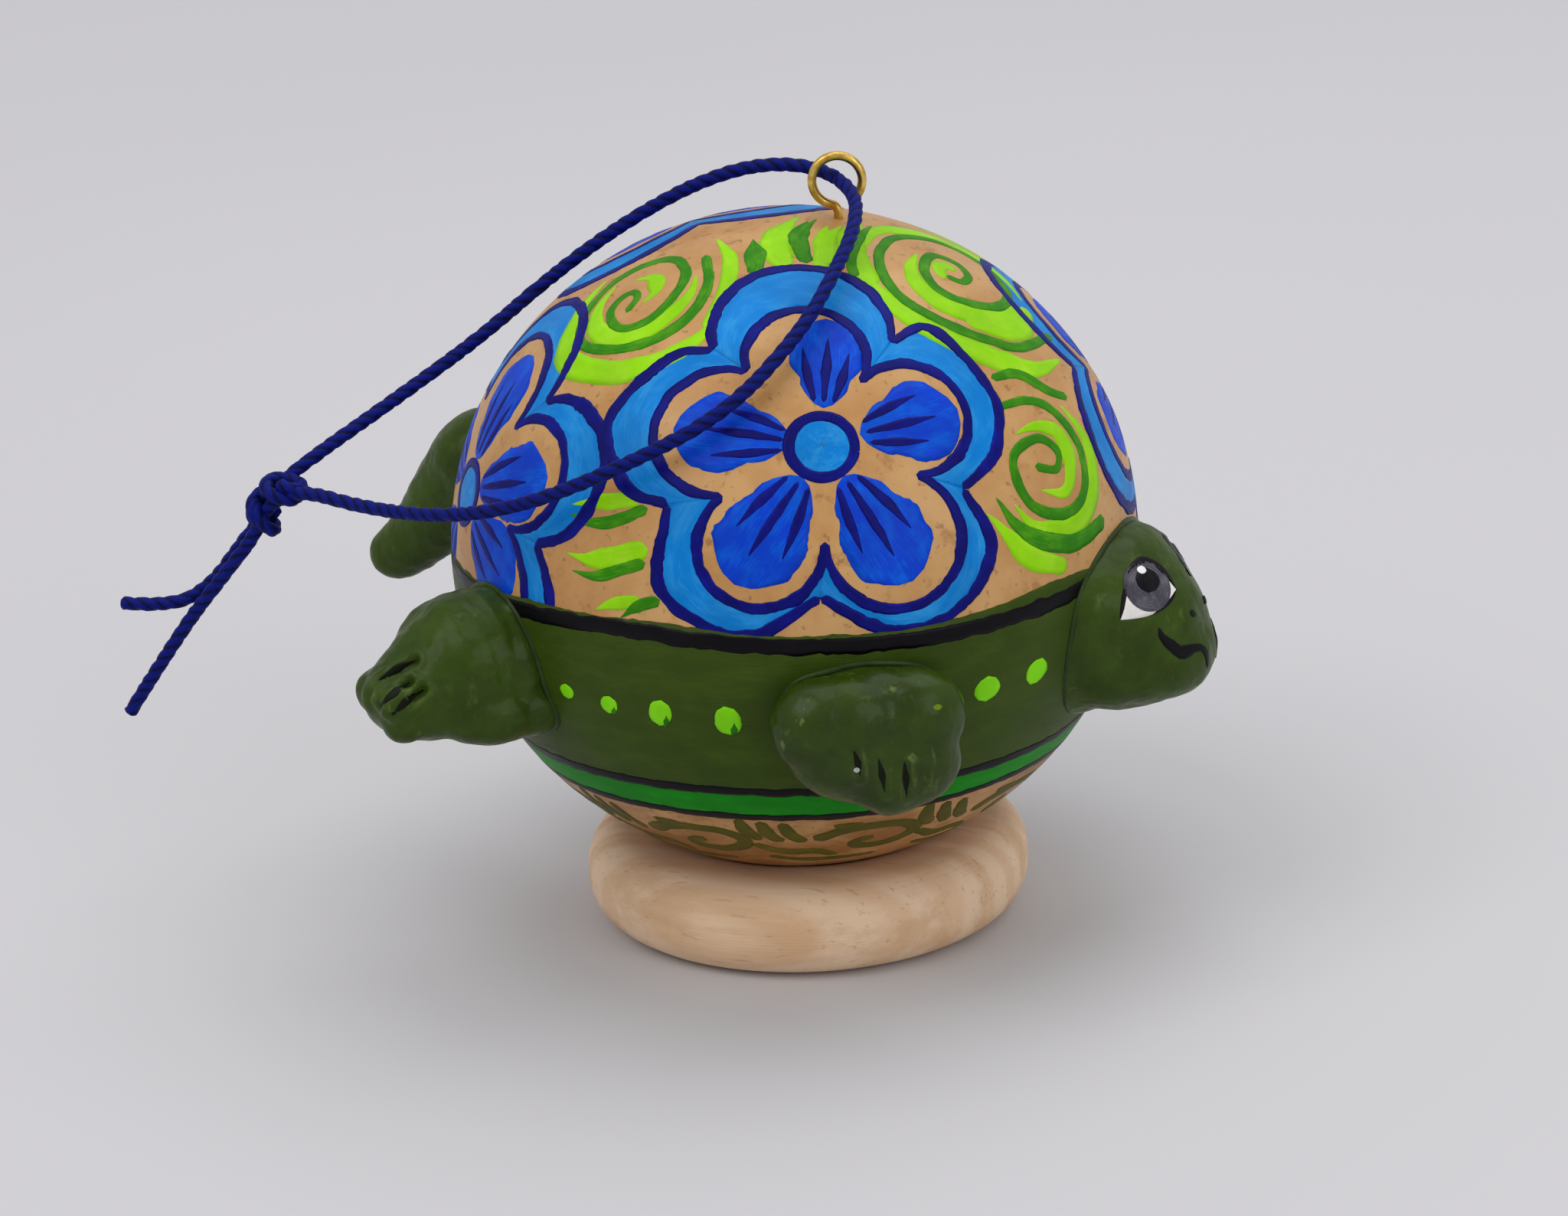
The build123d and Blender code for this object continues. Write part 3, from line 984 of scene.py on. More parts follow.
@dataclass
class TwistedTube:
    """A three-strand twisted cord swept along a line.

    Args:
        radius: The cord's radius.
        pitch: Length of one full turn of the twist.
        step: Length of one ring of the mesh.
        around: Points around it.
        strands: Number of strands.
    """

    radius: float = 0.7
    pitch: float = 4.6
    step: float = 0.24
    around: int = 18
    strands: int = 3

    def sweep(self, mesh: bmesh.types.BMesh, marks: object, line: Sequence[Vector], seed: float,
              narrow: float = 1.0) -> None:
        """Add the cord along a line to a mesh.

        Args:
            mesh: Where it goes.
            marks: The vertex layer for length, depth in the twist and seed; the finish turns that depth into
                painted shade.
            line: The centreline.
            seed: Start of its unevenness.
            narrow: The share of the radius that it keeps.
        """
        length = sum((b - a).length for a, b in zip(line, line[1:]))
        count = max(6, math.ceil(length / self.step))
        spots = even_line(line, count + 1)
        frames: list[tuple[Vector, Vector]] = []
        way = (spots[1] - spots[0]).normalized()
        side = way.orthogonal().normalized()
        for i in range(count + 1):
            new_way = (spots[min(count, i + 1)] - spots[max(0, i - 1)]).normalized()
            side = way.rotation_difference(new_way) @ side
            side = (side - new_way * side.dot(new_way)).normalized()
            frames.append((side.copy(), new_way.cross(side)))
            way = new_way
        made = bmesh.ops.create_grid(mesh, x_segments=count, y_segments=self.around, size=1.0)
        verts = made["verts"]
        for vert in verts:
            i = round((vert.co.x + 1) / 2 * count)
            angle = (vert.co.y + 1) * math.pi
            run = length * i / count
            twist = run / self.pitch + 0.16 * noise.noise(Vector((run * 0.3, seed, 1.0)))
            lobe = abs(math.cos(0.5 * self.strands * (angle - math.tau * twist)))
            fuzz = 0.05 * noise.noise(Vector((run * 3.1, 2.2 * math.cos(angle),
                                              2.2 * math.sin(angle) + seed)))
            fuzz += 0.05 * noise.noise(Vector((run * 0.9, 3.0, seed)))
            shape = 0.82 + 0.21 * lobe ** 0.7 + fuzz
            ends = min(1.0, (run + 0.16) / 0.4, (length - run + 0.16) / 0.4) ** 0.5
            a, b = frames[i]
            vert.co = spots[i] + (a * math.cos(angle) + b * math.sin(angle)) * (self.radius * narrow * shape
                                                                                * ends)
            vert[marks] = (run, lobe, seed)
        bmesh.ops.remove_doubles(mesh, verts=verts, dist=0.002)
        rims = [edge for edge in mesh.edges if edge.is_boundary]
        bmesh.ops.holes_fill(mesh, edges=rims, sides=0)


@dataclass
class HangingCord:
    """The cord loop through the screw eye, its two tails and its knot."""

    diameter: float = 1.4
    front_length: float = 121.0
    back_length: float = 93.4
    wrap_radius: float = 1.62

    def _half(self, name: str, route: list[Triple], node: str, seed: float,
              finish: bpy.types.Material) -> tuple:
        """One half of the cord.

        Returns:
            The piece and its path in metres.
        """
        line = route_line(f"{name}_line", route)
        mesh = bmesh.new()
        marks = mesh.verts.layers.float_vector.new("stroke")
        TwistedTube(self.diameter / 2).sweep(mesh, marks, line, seed)
        piece = make_piece(mesh, name, finish, Body.CORD, [node])
        return piece, [tuple(spot * MM) for spot in line]

    def _knot(self, finish: bpy.types.Material) -> bpy.types.Object:
        """The overhand knot: snug wraps and one strand across them."""
        axis = (KNOT_LOWER - KNOT_UPPER).normalized()
        side = axis.cross(Vector((0.37, -0.93, 0.0))).normalized()
        front = side.cross(axis)
        middle = (KNOT_UPPER + KNOT_LOWER) / 2
        mesh = bmesh.new()
        marks = mesh.verts.layers.float_vector.new("stroke")
        tube = TwistedTube(self.diameter / 2)

        def coil(start: float, end: float, turns: float, phase: float, reach: float,
                 lean: float) -> list[Triple]:
            """Points of a snug coil about the knot's axis."""
            count = max(6, round(turns * 10))
            found = []
            for i in range(count + 1):
                share = i / count
                angle = phase + math.tau * turns * share
                along = start + (end - start) * share + lean * math.cos(angle)
                around = side * math.cos(angle) + front * math.sin(angle)
                tuck = reach * (0.62 + 0.38 * min(1.0, 5.0 * share, 5.0 * (1 - share)))
                found.append(tuple(middle + axis * along + around * tuck))
            return found

        for i, wrap in enumerate((
            coil(-3.3, -1.1, 1.9, 0.9, self.wrap_radius * 1.06, 0.55),
            coil(0.6, 2.5, 1.6, 3.6, self.wrap_radius * 0.98, -0.5),
            coil(-1.9, 1.9, 0.62, 4.0, self.wrap_radius * 1.16, 0.2),
        )):
            tube.sweep(mesh, marks, route_line(f"wrap_{i}", wrap), 20.0 + i, 0.98)
        return make_piece(mesh, "cord_wraps", finish, Body.CORD, ["cord_knot"])

    def build(self) -> None:
        finish = WaxedCotton().build()
        knot = self._knot(finish)
        front, front_path = self._half("cord_front_strands", FRONT_HALF, "cord_front_half", 3.0, finish)
        back, back_path = self._half("cord_back_strands", BACK_HALF, "cord_back_half", 9.0, finish)


# ---------------------------------------------------------------- stand


@dataclass
class RingStand:
    """The turned wooden ring the gourd rests on."""

    node: str = "ring_stand"
    outer_round: float = 4.2
    inner_round: float = 3.0
    hole_radius: float = 12.2

    def build(self) -> bpy.types.Object:
        """Spin the ring's section and round its edges."""
        low, high = node_box(self.node)
        radius, height = (high.x - low.x) / 2, high.z - low.z
        mesh = bmesh.new()
        corners = [(self.hole_radius, 0.0), (radius, 0.0), (radius, height), (self.hole_radius, height)]
        verts = [mesh.verts.new((r, 0.0, low.z + z)) for r, z in corners]
        edges = [mesh.edges.new((verts[i], verts[(i + 1) % 4])) for i in range(4)]
        bmesh.ops.spin(mesh, geom=[*verts, *edges], cent=(0, 0, 0), axis=(0, 0, 1), angle=math.tau, steps=180,
                       use_merge=True)
        bmesh.ops.remove_doubles(mesh, verts=mesh.verts, dist=0.001)

        def rims(reach: float) -> list[bmesh.types.BMEdge]:
            """The circular edges at one radius."""
            return [e for e in mesh.edges
                    if all(abs(math.hypot(v.co.x, v.co.y) - reach) < 0.01 for v in e.verts)
                    and abs(e.verts[0].co.z - e.verts[1].co.z) < 1e-4]

        bmesh.ops.bevel(mesh, geom=rims(radius), offset=self.outer_round, affect="EDGES", segments=9,
                        profile=0.5, material=-1)
        bmesh.ops.bevel(mesh, geom=rims(self.hole_radius), offset=self.inner_round, affect="EDGES",
                        segments=7, profile=0.5, material=-1)
        for vert in mesh.verts:
            reach = math.hypot(vert.co.x, vert.co.y)
            if reach > self.hole_radius + 1.0 and vert.co.z > 0.6:
                wobble = 0.07 * noise.noise(Vector((vert.co.x * 0.12, vert.co.y * 0.12, vert.co.z * 0.6)))
                vert.co.z -= abs(wobble)
        return make_piece(mesh, "ring_turning", TurnedWood().build(), Body.STAND, [self.node])


# ---------------------------------------------------------------- gourd and its painting


@dataclass
class GourdShell:
    """The hollow gourd."""

    form: GourdForm
    wall: float = 2.4

    def build(self) -> bpy.types.Object:
        """Shape the skin and give it its wall."""
        mesh = bmesh.new()
        bmesh.ops.create_uvsphere(mesh, u_segments=200, v_segments=100, radius=1.0)
        for vert in mesh.verts:
            vert.co = self.form.skin(vert.co.normalized())
        bmesh.ops.recalc_face_normals(mesh, faces=mesh.faces)
        bmesh.ops.solidify(mesh, geom=mesh.faces, thickness=self.wall)
        finish = DriedGourdSkin().build(self.form.centre, self.form.radii)
        return make_piece(mesh, "gourd_skin", finish, Body.FIGURE, ["gourd_shell"],
                          outward=False)


@dataclass(frozen=True)
class Petal:
    """One painted petal: its direction, where it starts and ends, and its width."""

    toward: float
    start: float
    reach: float
    width: float


@dataclass
class Flower:
    """A five-petalled flower inside a double scalloped outline.

    Args:
        chart: The place it is painted on.
        petals: Its petals, going round.
        inner: Scallops of the inner outline, each from cusp to cusp, going round.
        outer: The matching scallops of the outer outline.
    """

    chart: SkinChart
    petals: Sequence[Petal]
    inner: Sequence[Flat]
    outer: Sequence[Flat]
    seed: float = 0.0

    @classmethod
    def regular(cls, chart: SkinChart, radius: float, directions: Sequence[float], seed: float) -> "Flower":
        """A flower whose scallops follow its petals' directions."""
        petals, inner, outer = [], [], []
        count = len(directions)
        for i, toward in enumerate(directions):
            before = toward - ((toward - directions[i - 1]) % 360) / 2
            after = toward + ((directions[(i + 1) % count] - toward) % 360) / 2
            shake = noise.noise(Vector((seed, i * 3.3, 0.5))) * 0.07
            petals.append(Petal(toward, 0.17 * radius, (0.71 + shake) * radius, (0.42 - shake) * radius))
            inner.append([polar(0.5 * radius, before), polar((0.81 + shake) * radius, toward),
                          polar(0.5 * radius, after)])
            outer.append([polar(0.73 * radius, before), polar((1.02 + shake) * radius, toward - 4),
                          polar(0.73 * radius, after)])
        return cls(chart, petals, inner, outer, seed)

    def paint(self, coats: "CoatSet") -> None:
        """Paint the bands, petals, veins, outlines and middle."""
        chart = self.chart
        inner = [lobe_line(points) for points in self.inner]
        outer = [lobe_line(points) for points in self.outer]
        for near, far in zip(inner, outer):
            coats.sky.patch(chart, near, far, rough=(0.35, 0.1), across=7)
        for lines, width in ((inner, 1.05), (outer, 1.2)):
            for line in lines:
                coats.navy.stroke(chart, line, (width * 0.75, width * 1.15, width * 0.95, width * 1.2,
                                                width * 0.8), rough=0.24)
        for petal in self.petals:
            way = Vector(polar(1.0, petal.toward))
            bend = Vector((-way.y, way.x))
            sway = 0.6 * noise.noise(Vector((self.seed, petal.toward * 0.1, 2.0)))
            spots = [way * (petal.start + (petal.reach - petal.start) * t) + bend
                     * (sway * math.sin(math.pi * t)) for t in (0.0, 0.3, 0.6, 0.85, 1.0)]
            full = petal.width
            coats.petal.stroke(chart, spots, (full * 0.3, full * 0.62, full * 0.93, full, full * 0.62),
                               rough=0.06, across=10)
            for off, lean, short in ((-0.24, -14.0, 0.56), (0.0, -2.0, 0.7), (0.24, 12.0, 0.6)):
                side = Vector(polar(1.0, petal.toward + lean))
                root = way * (petal.start + 0.6) + bend * (off * full * 0.5)
                tip = root + side * ((petal.reach - petal.start) * short)
                coats.navy.stroke(chart, [root, root.lerp(tip, 0.5) + bend * (off * 0.5), tip],
                                  (0.5, 0.95, 0.7), Tip.ROUND, Tip.TAPER, rough=0.16)
        ring = [Vector(polar(3.15, a)) for a in range(0, 361, 6)]
        hub = [Vector(polar(0.05, a)) for a in range(0, 361, 6)]
        coats.sky.patch(chart, hub, [spot * 0.92 for spot in ring], closed=True, rough=(0.0, 0.05), across=6)
        coats.navy.stroke(chart, ring[:-1], (1.0, 1.15, 0.95), rough=0.12)
        coats.navy.stroke(chart, ring[-4:] + ring[1:24], (1.0, 1.1, 0.9), rough=0.12)


@dataclass
class CoatSet:
    """Every colour used on the gourd, in the order of painting."""

    sky: PaintCoat = field(default_factory=lambda: PaintCoat(
        "paint_sky_blue", BrushedPaint("sky_blue_paint", (0, 126, 212), (52, 158, 226), 0.7), 0.02, 2.0))
    petal: PaintCoat = field(default_factory=lambda: PaintCoat(
        "paint_petal_blue", BrushedPaint("petal_blue_paint", (0, 62, 204), (0, 104, 226), 0.8), 0.026, 31.0))
    lime: PaintCoat = field(default_factory=lambda: PaintCoat(
        "paint_lime", BrushedPaint("lime_paint", (146, 218, 4), (172, 226, 50), 0.55), 0.024, 57.0, 1.35))
    leaf: PaintCoat = field(default_factory=lambda: PaintCoat(
        "paint_leaf_green", BrushedPaint("leaf_green_paint", (44, 130, 6), (96, 168, 20), 0.75), 0.036, 83.0,
        1.1))
    navy: PaintCoat = field(default_factory=lambda: PaintCoat(
        "paint_navy_lines", BrushedPaint("navy_paint", (4, 4, 104), (8, 24, 152), 0.7), 0.042, 111.0))
    olive: PaintCoat = field(default_factory=lambda: PaintCoat(
        "paint_olive_band", BrushedPaint("olive_paint", (54, 74, 14), (68, 88, 22), 0.6, 0.4), 0.056, 141.0))
    green: PaintCoat = field(default_factory=lambda: PaintCoat(
        "paint_green_band", BrushedPaint("green_paint", (0, 128, 8), (16, 154, 18), 0.7), 0.05, 171.0))
    scroll: PaintCoat = field(default_factory=lambda: PaintCoat(
        "paint_belly_scroll", BrushedPaint("scroll_paint", (76, 74, 8), (104, 94, 22), 0.8), 0.024, 191.0,
        1.85))
    black: PaintCoat = field(default_factory=lambda: PaintCoat(
        "paint_black_lines", BrushedPaint("black_paint", (6, 4, 10), (24, 20, 24), 0.5, 0.34), 0.07, 211.0))
    dots: PaintCoat = field(default_factory=lambda: PaintCoat(
        "paint_lime_dots", BrushedPaint("dot_paint", (128, 222, 12), (150, 228, 40), 0.4), 0.12, 233.0))
    smear: PaintCoat = field(default_factory=lambda: PaintCoat(
        "paint_dot_smears", BrushedPaint("smear_paint", (30, 110, 10), (70, 150, 20), 0.8), 0.15, 251.0))

    def finish(self) -> None:
        """Hand over every coat."""
        for coat in vars(self).values():
            coat.finish(Body.FIGURE, "painted_gourd")


@dataclass
class ShellPainting:
    """The flowers, spirals, strokes, bands and scrolls painted on the gourd."""

    form: GourdForm
    upper_black: Flat = ((-180, 0.4), (-150, 0.9), (-128, 1.0), (-99, 2.1), (-84, 1.2), (-69, 0.2),
                         (-49, -0.5), (-29, -0.1), (0, 0.6), (40, 0.5), (80, -0.3), (120, 0.9), (150, 0.2))

    def _around(self, knots: Flat) -> list[Vector]:
        """A closed line of latitude through its knots, one point for each degree."""
        wrapped = [*[(lon - 360, lat) for lon, lat in knots[-2:]], *knots,
                   *[(lon + 360, lat) for lon, lat in knots[:3]]]
        line = smooth_line(wrapped, 1.0)
        found, j = [], 0
        for lon in range(-180, 181):
            while line[j + 1].x < lon:
                j += 1
            share = (lon - line[j].x) / max(1e-9, line[j + 1].x - line[j].x)
            found.append(Vector((lon, line[j].lerp(line[j + 1], share).y)))
        found[-1].y = found[0].y
        return found

    def bands(self, coats: CoatSet) -> None:
        """The olive and green bands and the black lines round the middle."""
        girdle = GirdleChart(self.form)
        upper = self._around(self.upper_black)
        top = []
        for k, spot in enumerate(upper):
            swell = 1.9 + 0.5 * noise.noise(Vector((k * 0.07, 0.0, 4.0)))
            swell += 1.6 * math.exp(-((spot.x + 24) / 14) ** 2)
            top.append(spot + Vector((0.0, swell)))
        top[-1].y = top[0].y
        second = self._around([(lon, -29.3 + 0.7 * math.sin(lon * 0.05)) for lon in range(-180, 180, 40)])
        third = self._around([(lon, -36.2 + 0.5 * math.cos(lon * 0.06)) for lon in range(-180, 180, 40)])
        coats.olive.patch(girdle, second, top, closed=True, rough=(0.1, 0.35), across=26, grain=0.6)
        coats.green.patch(girdle, third, second, closed=True, rough=(0.1, 0.1), across=10, grain=0.6)
        for line, wide, ragged in ((upper, 2.8, 0.46), (second, 2.1, 0.36), (third, 1.8, 0.3)):
            under = [spot - Vector((0, wide / 2)) for spot in line]
            over = [spot + Vector((0, wide / 2)) for spot in line]
            coats.black.patch(girdle, under, over, closed=True, rough=(ragged, ragged), across=4, grain=0.6)

    def dots(self, coats: CoatSet) -> None:
        """The row of dabs on the olive band, on both sides."""
        near = ((-109.6, -11.4, 0.9, 1.0, 0.0), (-101.1, -12.3, 0.95, 1.2, -12.0),
                (-91.6, -12.5, 1.25, 1.75, -10.0), (-80.2, -13.1, 1.3, 1.9, 8.0),
                (-36.7, -12.0, 1.55, 1.7, 0.0), (-26.4, -11.5, 1.4, 1.7, -25.0))
        far = ((30.0, -11.8, 1.4, 1.7, 10.0), (39.0, -12.4, 1.5, 1.6, 0.0), (76.0, -12.0, 1.3, 1.8, 12.0),
               (87.0, -12.8, 1.2, 1.8, -8.0), (98.0, -12.2, 1.0, 1.3, 0.0), (107.0, -11.6, 0.9, 1.1, 0.0),
               (158.0, -12.0, 1.2, 1.4, 0.0), (-156.0, -12.2, 1.2, 1.4, 10.0))
        for lon, lat, wide, tall, tilt in (*near, *far):
            chart = SkinChart(self.form, lon, lat)
            coats.dots.dot(chart, (0.0, 0.0), (wide * 0.94, max(0.2, tall - wide * 0.16)), tilt)
        for lon, lat, tall in ((-101.1, -12.3, 1.2), (-91.6, -12.5, 1.9), (-80.2, -13.1, 2.0),
                               (87.0, -12.8, 1.8)):
            chart = SkinChart(self.form, lon, lat)
            coats.smear.stroke(chart, [(0.1, -tall * 0.9), (0.5, -tall * 0.55), (0.6, -tall * 0.1)],
                               (0.3, 0.7, 0.3), Tip.TAPER, Tip.TAPER, 0.2)

    def flowers(self, coats: CoatSet) -> None:
        """The five flowers."""
        main = Flower(
            SkinChart(self.form, -62.5, 32.7),
            [Petal(82, 4, 14.5, 7.6), Petal(165, 3, 14.5, 8.5), Petal(-126.5, 3.6, 16, 9.5),
             Petal(-60, 3.6, 16, 9.2), Petal(15, 3.9, 14.5, 9)],
            [[polar(7.9, 55.6), polar(15.8, 91), polar(10.8, 126)],
             [polar(10.8, 126), polar(16.5, 166), polar(10.6, 202)],
             [polar(10.6, 202), polar(17.7, 232), polar(9.5, 267)],
             [polar(9.5, 267), polar(18.4, 298), polar(9.5, 340)],
             [polar(9.5, 340), polar(15.4, 373), polar(7.9, 415.6)]],
            [[polar(13.9, 54), polar(22.3, 93), polar(15.2, 128)],
             [polar(15.2, 128), polar(18.3, 139), polar(21.8, 163), polar(19.5, 184), polar(15.8, 194.6)],
             [polar(15.8, 194.6), polar(21, 215), polar(21.2, 232), polar(20, 246), polar(15, 265)],
             [polar(15, 265), polar(19.8, 287), polar(21.3, 307), polar(20, 327), polar(14.5, 341)],
             [polar(14.5, 341), polar(17.8, 358), polar(19.3, 377), polar(18.4, 406), polar(13.9, 414)]],
            1.0,
        )
        left = Flower.regular(SkinChart(self.form, -142, 15.5), 21.5, (24, 88, 165, 232, 333), 2.0)
        right = Flower.regular(SkinChart(self.form, 33.5, 23), 20.0, (185, 257, 329, 41, 113), 3.0)
        back = Flower.regular(SkinChart(self.form, 145, 57), 20.0, (30, 102, 174, 246, 318), 4.0)
        far = Flower.regular(SkinChart(self.form, 98, 7), 17.5, (90, 162, 234, 306, 18), 5.0)
        for flower in (main, left, right, back, far):
            flower.paint(coats)

    def strokes(self, coats: CoatSet) -> None:
        """The lime and leaf-green spirals and leaf strokes."""
        form = self.form
        top_right = SkinChart(form, -35, 55)
        top_left = SkinChart(form, -100, 58)
        right = SkinChart(form, -8, 25)
        low_left = SkinChart(form, -120, 15)
        leaf, lime = coats.leaf, coats.lime
        leaf.stroke(top_right,
                    [(9, 4.5), (10.5, 3.5), (12.3, 4.6), (12.5, 6.8), (10.5, 8.3), (8, 7), (6.4, 4.5),
                     (6.6, 2), (9, 0.3), (12.5, -0.2), (16, 1.5), (18, 5), (17.5, 9), (14, 12),
                     (8, 12), (3.5, 9), (1.5, 5), (1.8, 1), (5, -2.8), (9, -5), (13, -5.6),
                     (20, -3)],
                    (0.9, 1.1, 1.2, 1.0, 1.2, 1.0), rough=0.14)
        lime.stroke(top_right,
                    [(8.2, 8.6), (5.4, 6), (4.6, 3.2), (5.6, 0.4), (8.6, -1.4), (12.5, -1.9), (17, 0.2)],
                    (0.8, 1.9, 2.1, 2.0, 1.5), Tip.TAPER, Tip.ROUND, 0.1)
        lime.stroke(top_right, [(10.6, 5.3), (10.8, 6.4), (9.2, 6), (8.3, 4)], (0.8, 1.3, 0.8), rough=0.1)
        lime.stroke(top_right, [(0.2, 10), (-0.6, 6), (-0.2, 2), (2.2, -2.8), (6, -6), (10, -7.8), (14, -8.2),
                                (19, -6.4)], (1.0, 1.7, 1.9, 2.2, 1.8, 1.0), Tip.TAPER, Tip.TAPER, 0.1)
        lime.stroke(top_right, [(2.6, 10.4), (7, 13.8), (13.5, 13.6), (18.2, 10.8), (19.6, 6), (19, 2)],
                    (1.0, 1.8, 1.6, 1.0), Tip.TAPER, Tip.TAPER, 0.1)
        lime.stroke(top_right, [(7, -2.2), (11, -3.4), (15, -2.8), (18.6, 0.6)], (1.4, 2.2, 1.2), rough=0.1)
        leaf.stroke(top_left, [(-6.5, -0.8), (-6.3, 1.3), (-7.5, 2.2), (-8.6, 1), (-8.6, -0.8), (-7, -2.5),
                               (-5, -2.9), (-3, -1.5), (-2, 1.5), (-2.5, 5), (-5, 7.5), (-8, 7.3), (-11, 5),
                               (-12.3, 1.5), (-12, -2), (-10, -4.8), (-6, -5.6), (-2, -4.5), (0.5, -2),
                               (1.2, 1), (0.5, 4.5), (-2.2, 8.5)], (0.8, 1.0, 1.1, 1.0, 1.2, 0.9), rough=0.14)
        lime.stroke(top_left, [(-13, 5), (-13.7, 2), (-13.5, -1), (-12, -6), (-8, -8), (-3, -8), (1, -6),
                               (3.5, -2.5), (4, 1)], (0.9, 1.7, 2.2, 2.1, 1.6, 0.8), Tip.TAPER, Tip.TAPER,
                    0.1)
        lime.stroke(top_left,
                    [(-10.6, 3.6), (-10.9, 0.5), (-9.6, -2.6), (-6.6, -4.2), (-3.2, -3.4), (-1.4, -1.2),
                     (-0.4, 2), (-1.2, 5)], (0.9, 1.7, 1.9, 1.5, 0.8), Tip.TAPER, Tip.TAPER, 0.1)
        lime.stroke(top_left, [(-5.2, 0.4), (-4.6, 2.4), (-6.2, 4.4), (-8.4, 4.2)], (0.8, 1.5, 0.8),
                    Tip.TAPER, Tip.TAPER, 0.1)
        leaf.stroke(right, [(-7.6, -0.9), (-5, -2.2), (-3.6, -0.8), (-5, 1.2), (-7.5, 1.6), (-9.8, 0.9),
                            (-10.6, -2), (-9.3, -5), (-5.5, -6.7), (-1.8, -5.8), (0.2, -1.5), (-1.2, 3),
                            (-4, 5.2), (-8.3, 6.1)], (0.8, 1.0, 1.1, 1.1, 0.8), rough=0.14)
        lime.stroke(right,
                    [(-8, 2.9), (-5, 2.6), (-2.5, 1.2), (-2, -1.2), (-3, -3.4), (-5, -4.7), (-8, -3.4)],
                    (0.7, 1.4, 1.8, 1.4, 0.7), Tip.TAPER, Tip.TAPER, 0.1)
        lime.stroke(right, [(-12, -3.4), (-10.4, -6.4), (-6, -8.2), (-1.5, -7.4), (1.3, -4), (1.8, -0.6),
                            (0.4, 3.2)], (0.8, 1.5, 1.8, 1.5, 0.8), Tip.TAPER, Tip.TAPER, 0.1)
        leaf.stroke(right, [(-13.8, -2), (-12.6, -5.4), (-10, -8), (-5, -10), (1, -9.5)], (1.0, 1.8, 1.5),
                    Tip.TAPER, Tip.ROUND, 0.12)
        lime.stroke(right, [(-15.5, -3), (-12, -9), (-7, -12)], (0.9, 1.9, 1.3), Tip.TAPER, Tip.ROUND, 0.1)
        leaf.stroke(right, [(-6.7, 9), (-3, 8), (0, 5), (2.5, 3.5)], (0.8, 1.2, 0.8), rough=0.14)
        for points, width in (([(-6.5, 17), (-8.4, 14), (-9.5, 11)], 1.6),
                              ([(1, 18), (-1.6, 16.2), (-3, 14), (-4.5, 10)], 1.6),
                              ([(7, 15), (3.4, 12.4), (0, 9), (-1.5, 6)], 1.2)):
            leaf.stroke(top_right, points, (0.7, width, width * 0.8), Tip.TAPER, Tip.ROUND, 0.12)
        for points, width in (([(-4, 18), (-5.4, 15.6), (-6, 14), (-6.5, 10.5)], 2.2),
                              ([(2, 16), (0.4, 14.2), (-1, 12), (-3, 9)], 2.0),
                              ([(8, 18), (5.4, 15.6), (3, 13), (0.8, 10), (0, 7), (-0.6, 4.4)], 2.3)):
            lime.stroke(top_right, points, (0.9, width, width * 0.8), Tip.TAPER, Tip.ROUND, 0.1)
        for points, width in (([(1, 12.5), (3, 10), (4.5, 6.5)], 1.6), ([(4, 20), (5, 15), (8, 10.5)], 1.7)):
            leaf.stroke(top_left, points, (0.7, width, width * 0.8), Tip.TAPER, Tip.ROUND, 0.12)
        for points, width in (([(-3, 12), (1, 8), (3, 3), (3.5, -2)], 1.3),
                              ([(2, 20), (3, 14), (6, 9.5)], 2.3), ([(7, 20), (8, 15), (10, 10)], 1.5)):
            lime.stroke(top_left, points, (0.8, width, width * 0.8), Tip.TAPER, Tip.ROUND, 0.1)
        for points, width, coat in (
            ([(6.5, 3.9), (10, 5.0), (14, 6.2)], 1.3, lime),
            ([(6.5, 3), (9, 2.6), (12, 3.5), (15, 5.5)], 1.2, leaf),
            ([(7, -1), (10, -1), (13, 0), (16, 1.5)], 1.8, lime),
            ([(8, -2.6), (11, -2.5), (14, -1), (16, 0)], 1.2, leaf),
            ([(11, -6), (13, -5), (16, -4)], 1.1, lime), ([(14, -6.2), (16, -4.5), (18, -3.5)], 1.2, leaf),
        ):
            coat.stroke(low_left, points, (0.6, width, width * 0.9), Tip.TAPER, Tip.ROUND, 0.12)

    def far_side(self, coats: CoatSet) -> None:
        """Spirals and leaf strokes on the side away from the viewer."""
        for lon, lat, turn, size in ((60.0, 52.0, 0.6, 1.0), (150.0, 14.0, 1.2, 0.85)):
            chart = SkinChart(self.form, lon, lat)
            dark, light = [], []
            for i in range(26):
                angle = turn + i * 0.5
                reach = size * (0.9 + 0.34 * i)
                dark.append((reach * math.cos(angle), reach * math.sin(angle)))
                light.append(((reach + 1.25 * size) * math.cos(angle),
                              (reach + 1.25 * size) * math.sin(angle)))
            coats.leaf.stroke(chart, dark, (0.8, 1.1, 1.0, 1.1, 0.8), rough=0.14)
            coats.lime.stroke(chart, light[5:15], (0.8, 1.3, 0.9), Tip.TAPER, Tip.TAPER, 0.1)
            coats.lime.stroke(chart, light[14:], (0.8, 1.9, 2.0, 1.0), Tip.TAPER, Tip.TAPER, 0.1)
        for lon, lat, lean in ((62, 6, 20), (125, 26, -30), (172, 8, 10), (128, -1, 0), (-178, 26, 60),
                               (64, 28, 80), (91, 40, -20)):
            chart = SkinChart(self.form, lon, lat)
            for i in range(3):
                shift = (i - 1) * 2.7
                base = Vector(polar(1.0, lean))
                rise = Vector((-base.y, base.x))
                root, tip = rise * shift - base * 3.2, rise * (shift + 0.8) + base * 3.4
                middle = root.lerp(tip, 0.5) - rise * 0.9
                coats.lime.stroke(chart, [root, middle, tip], (0.7, 1.5, 1.2), Tip.TAPER, Tip.ROUND, 0.1)
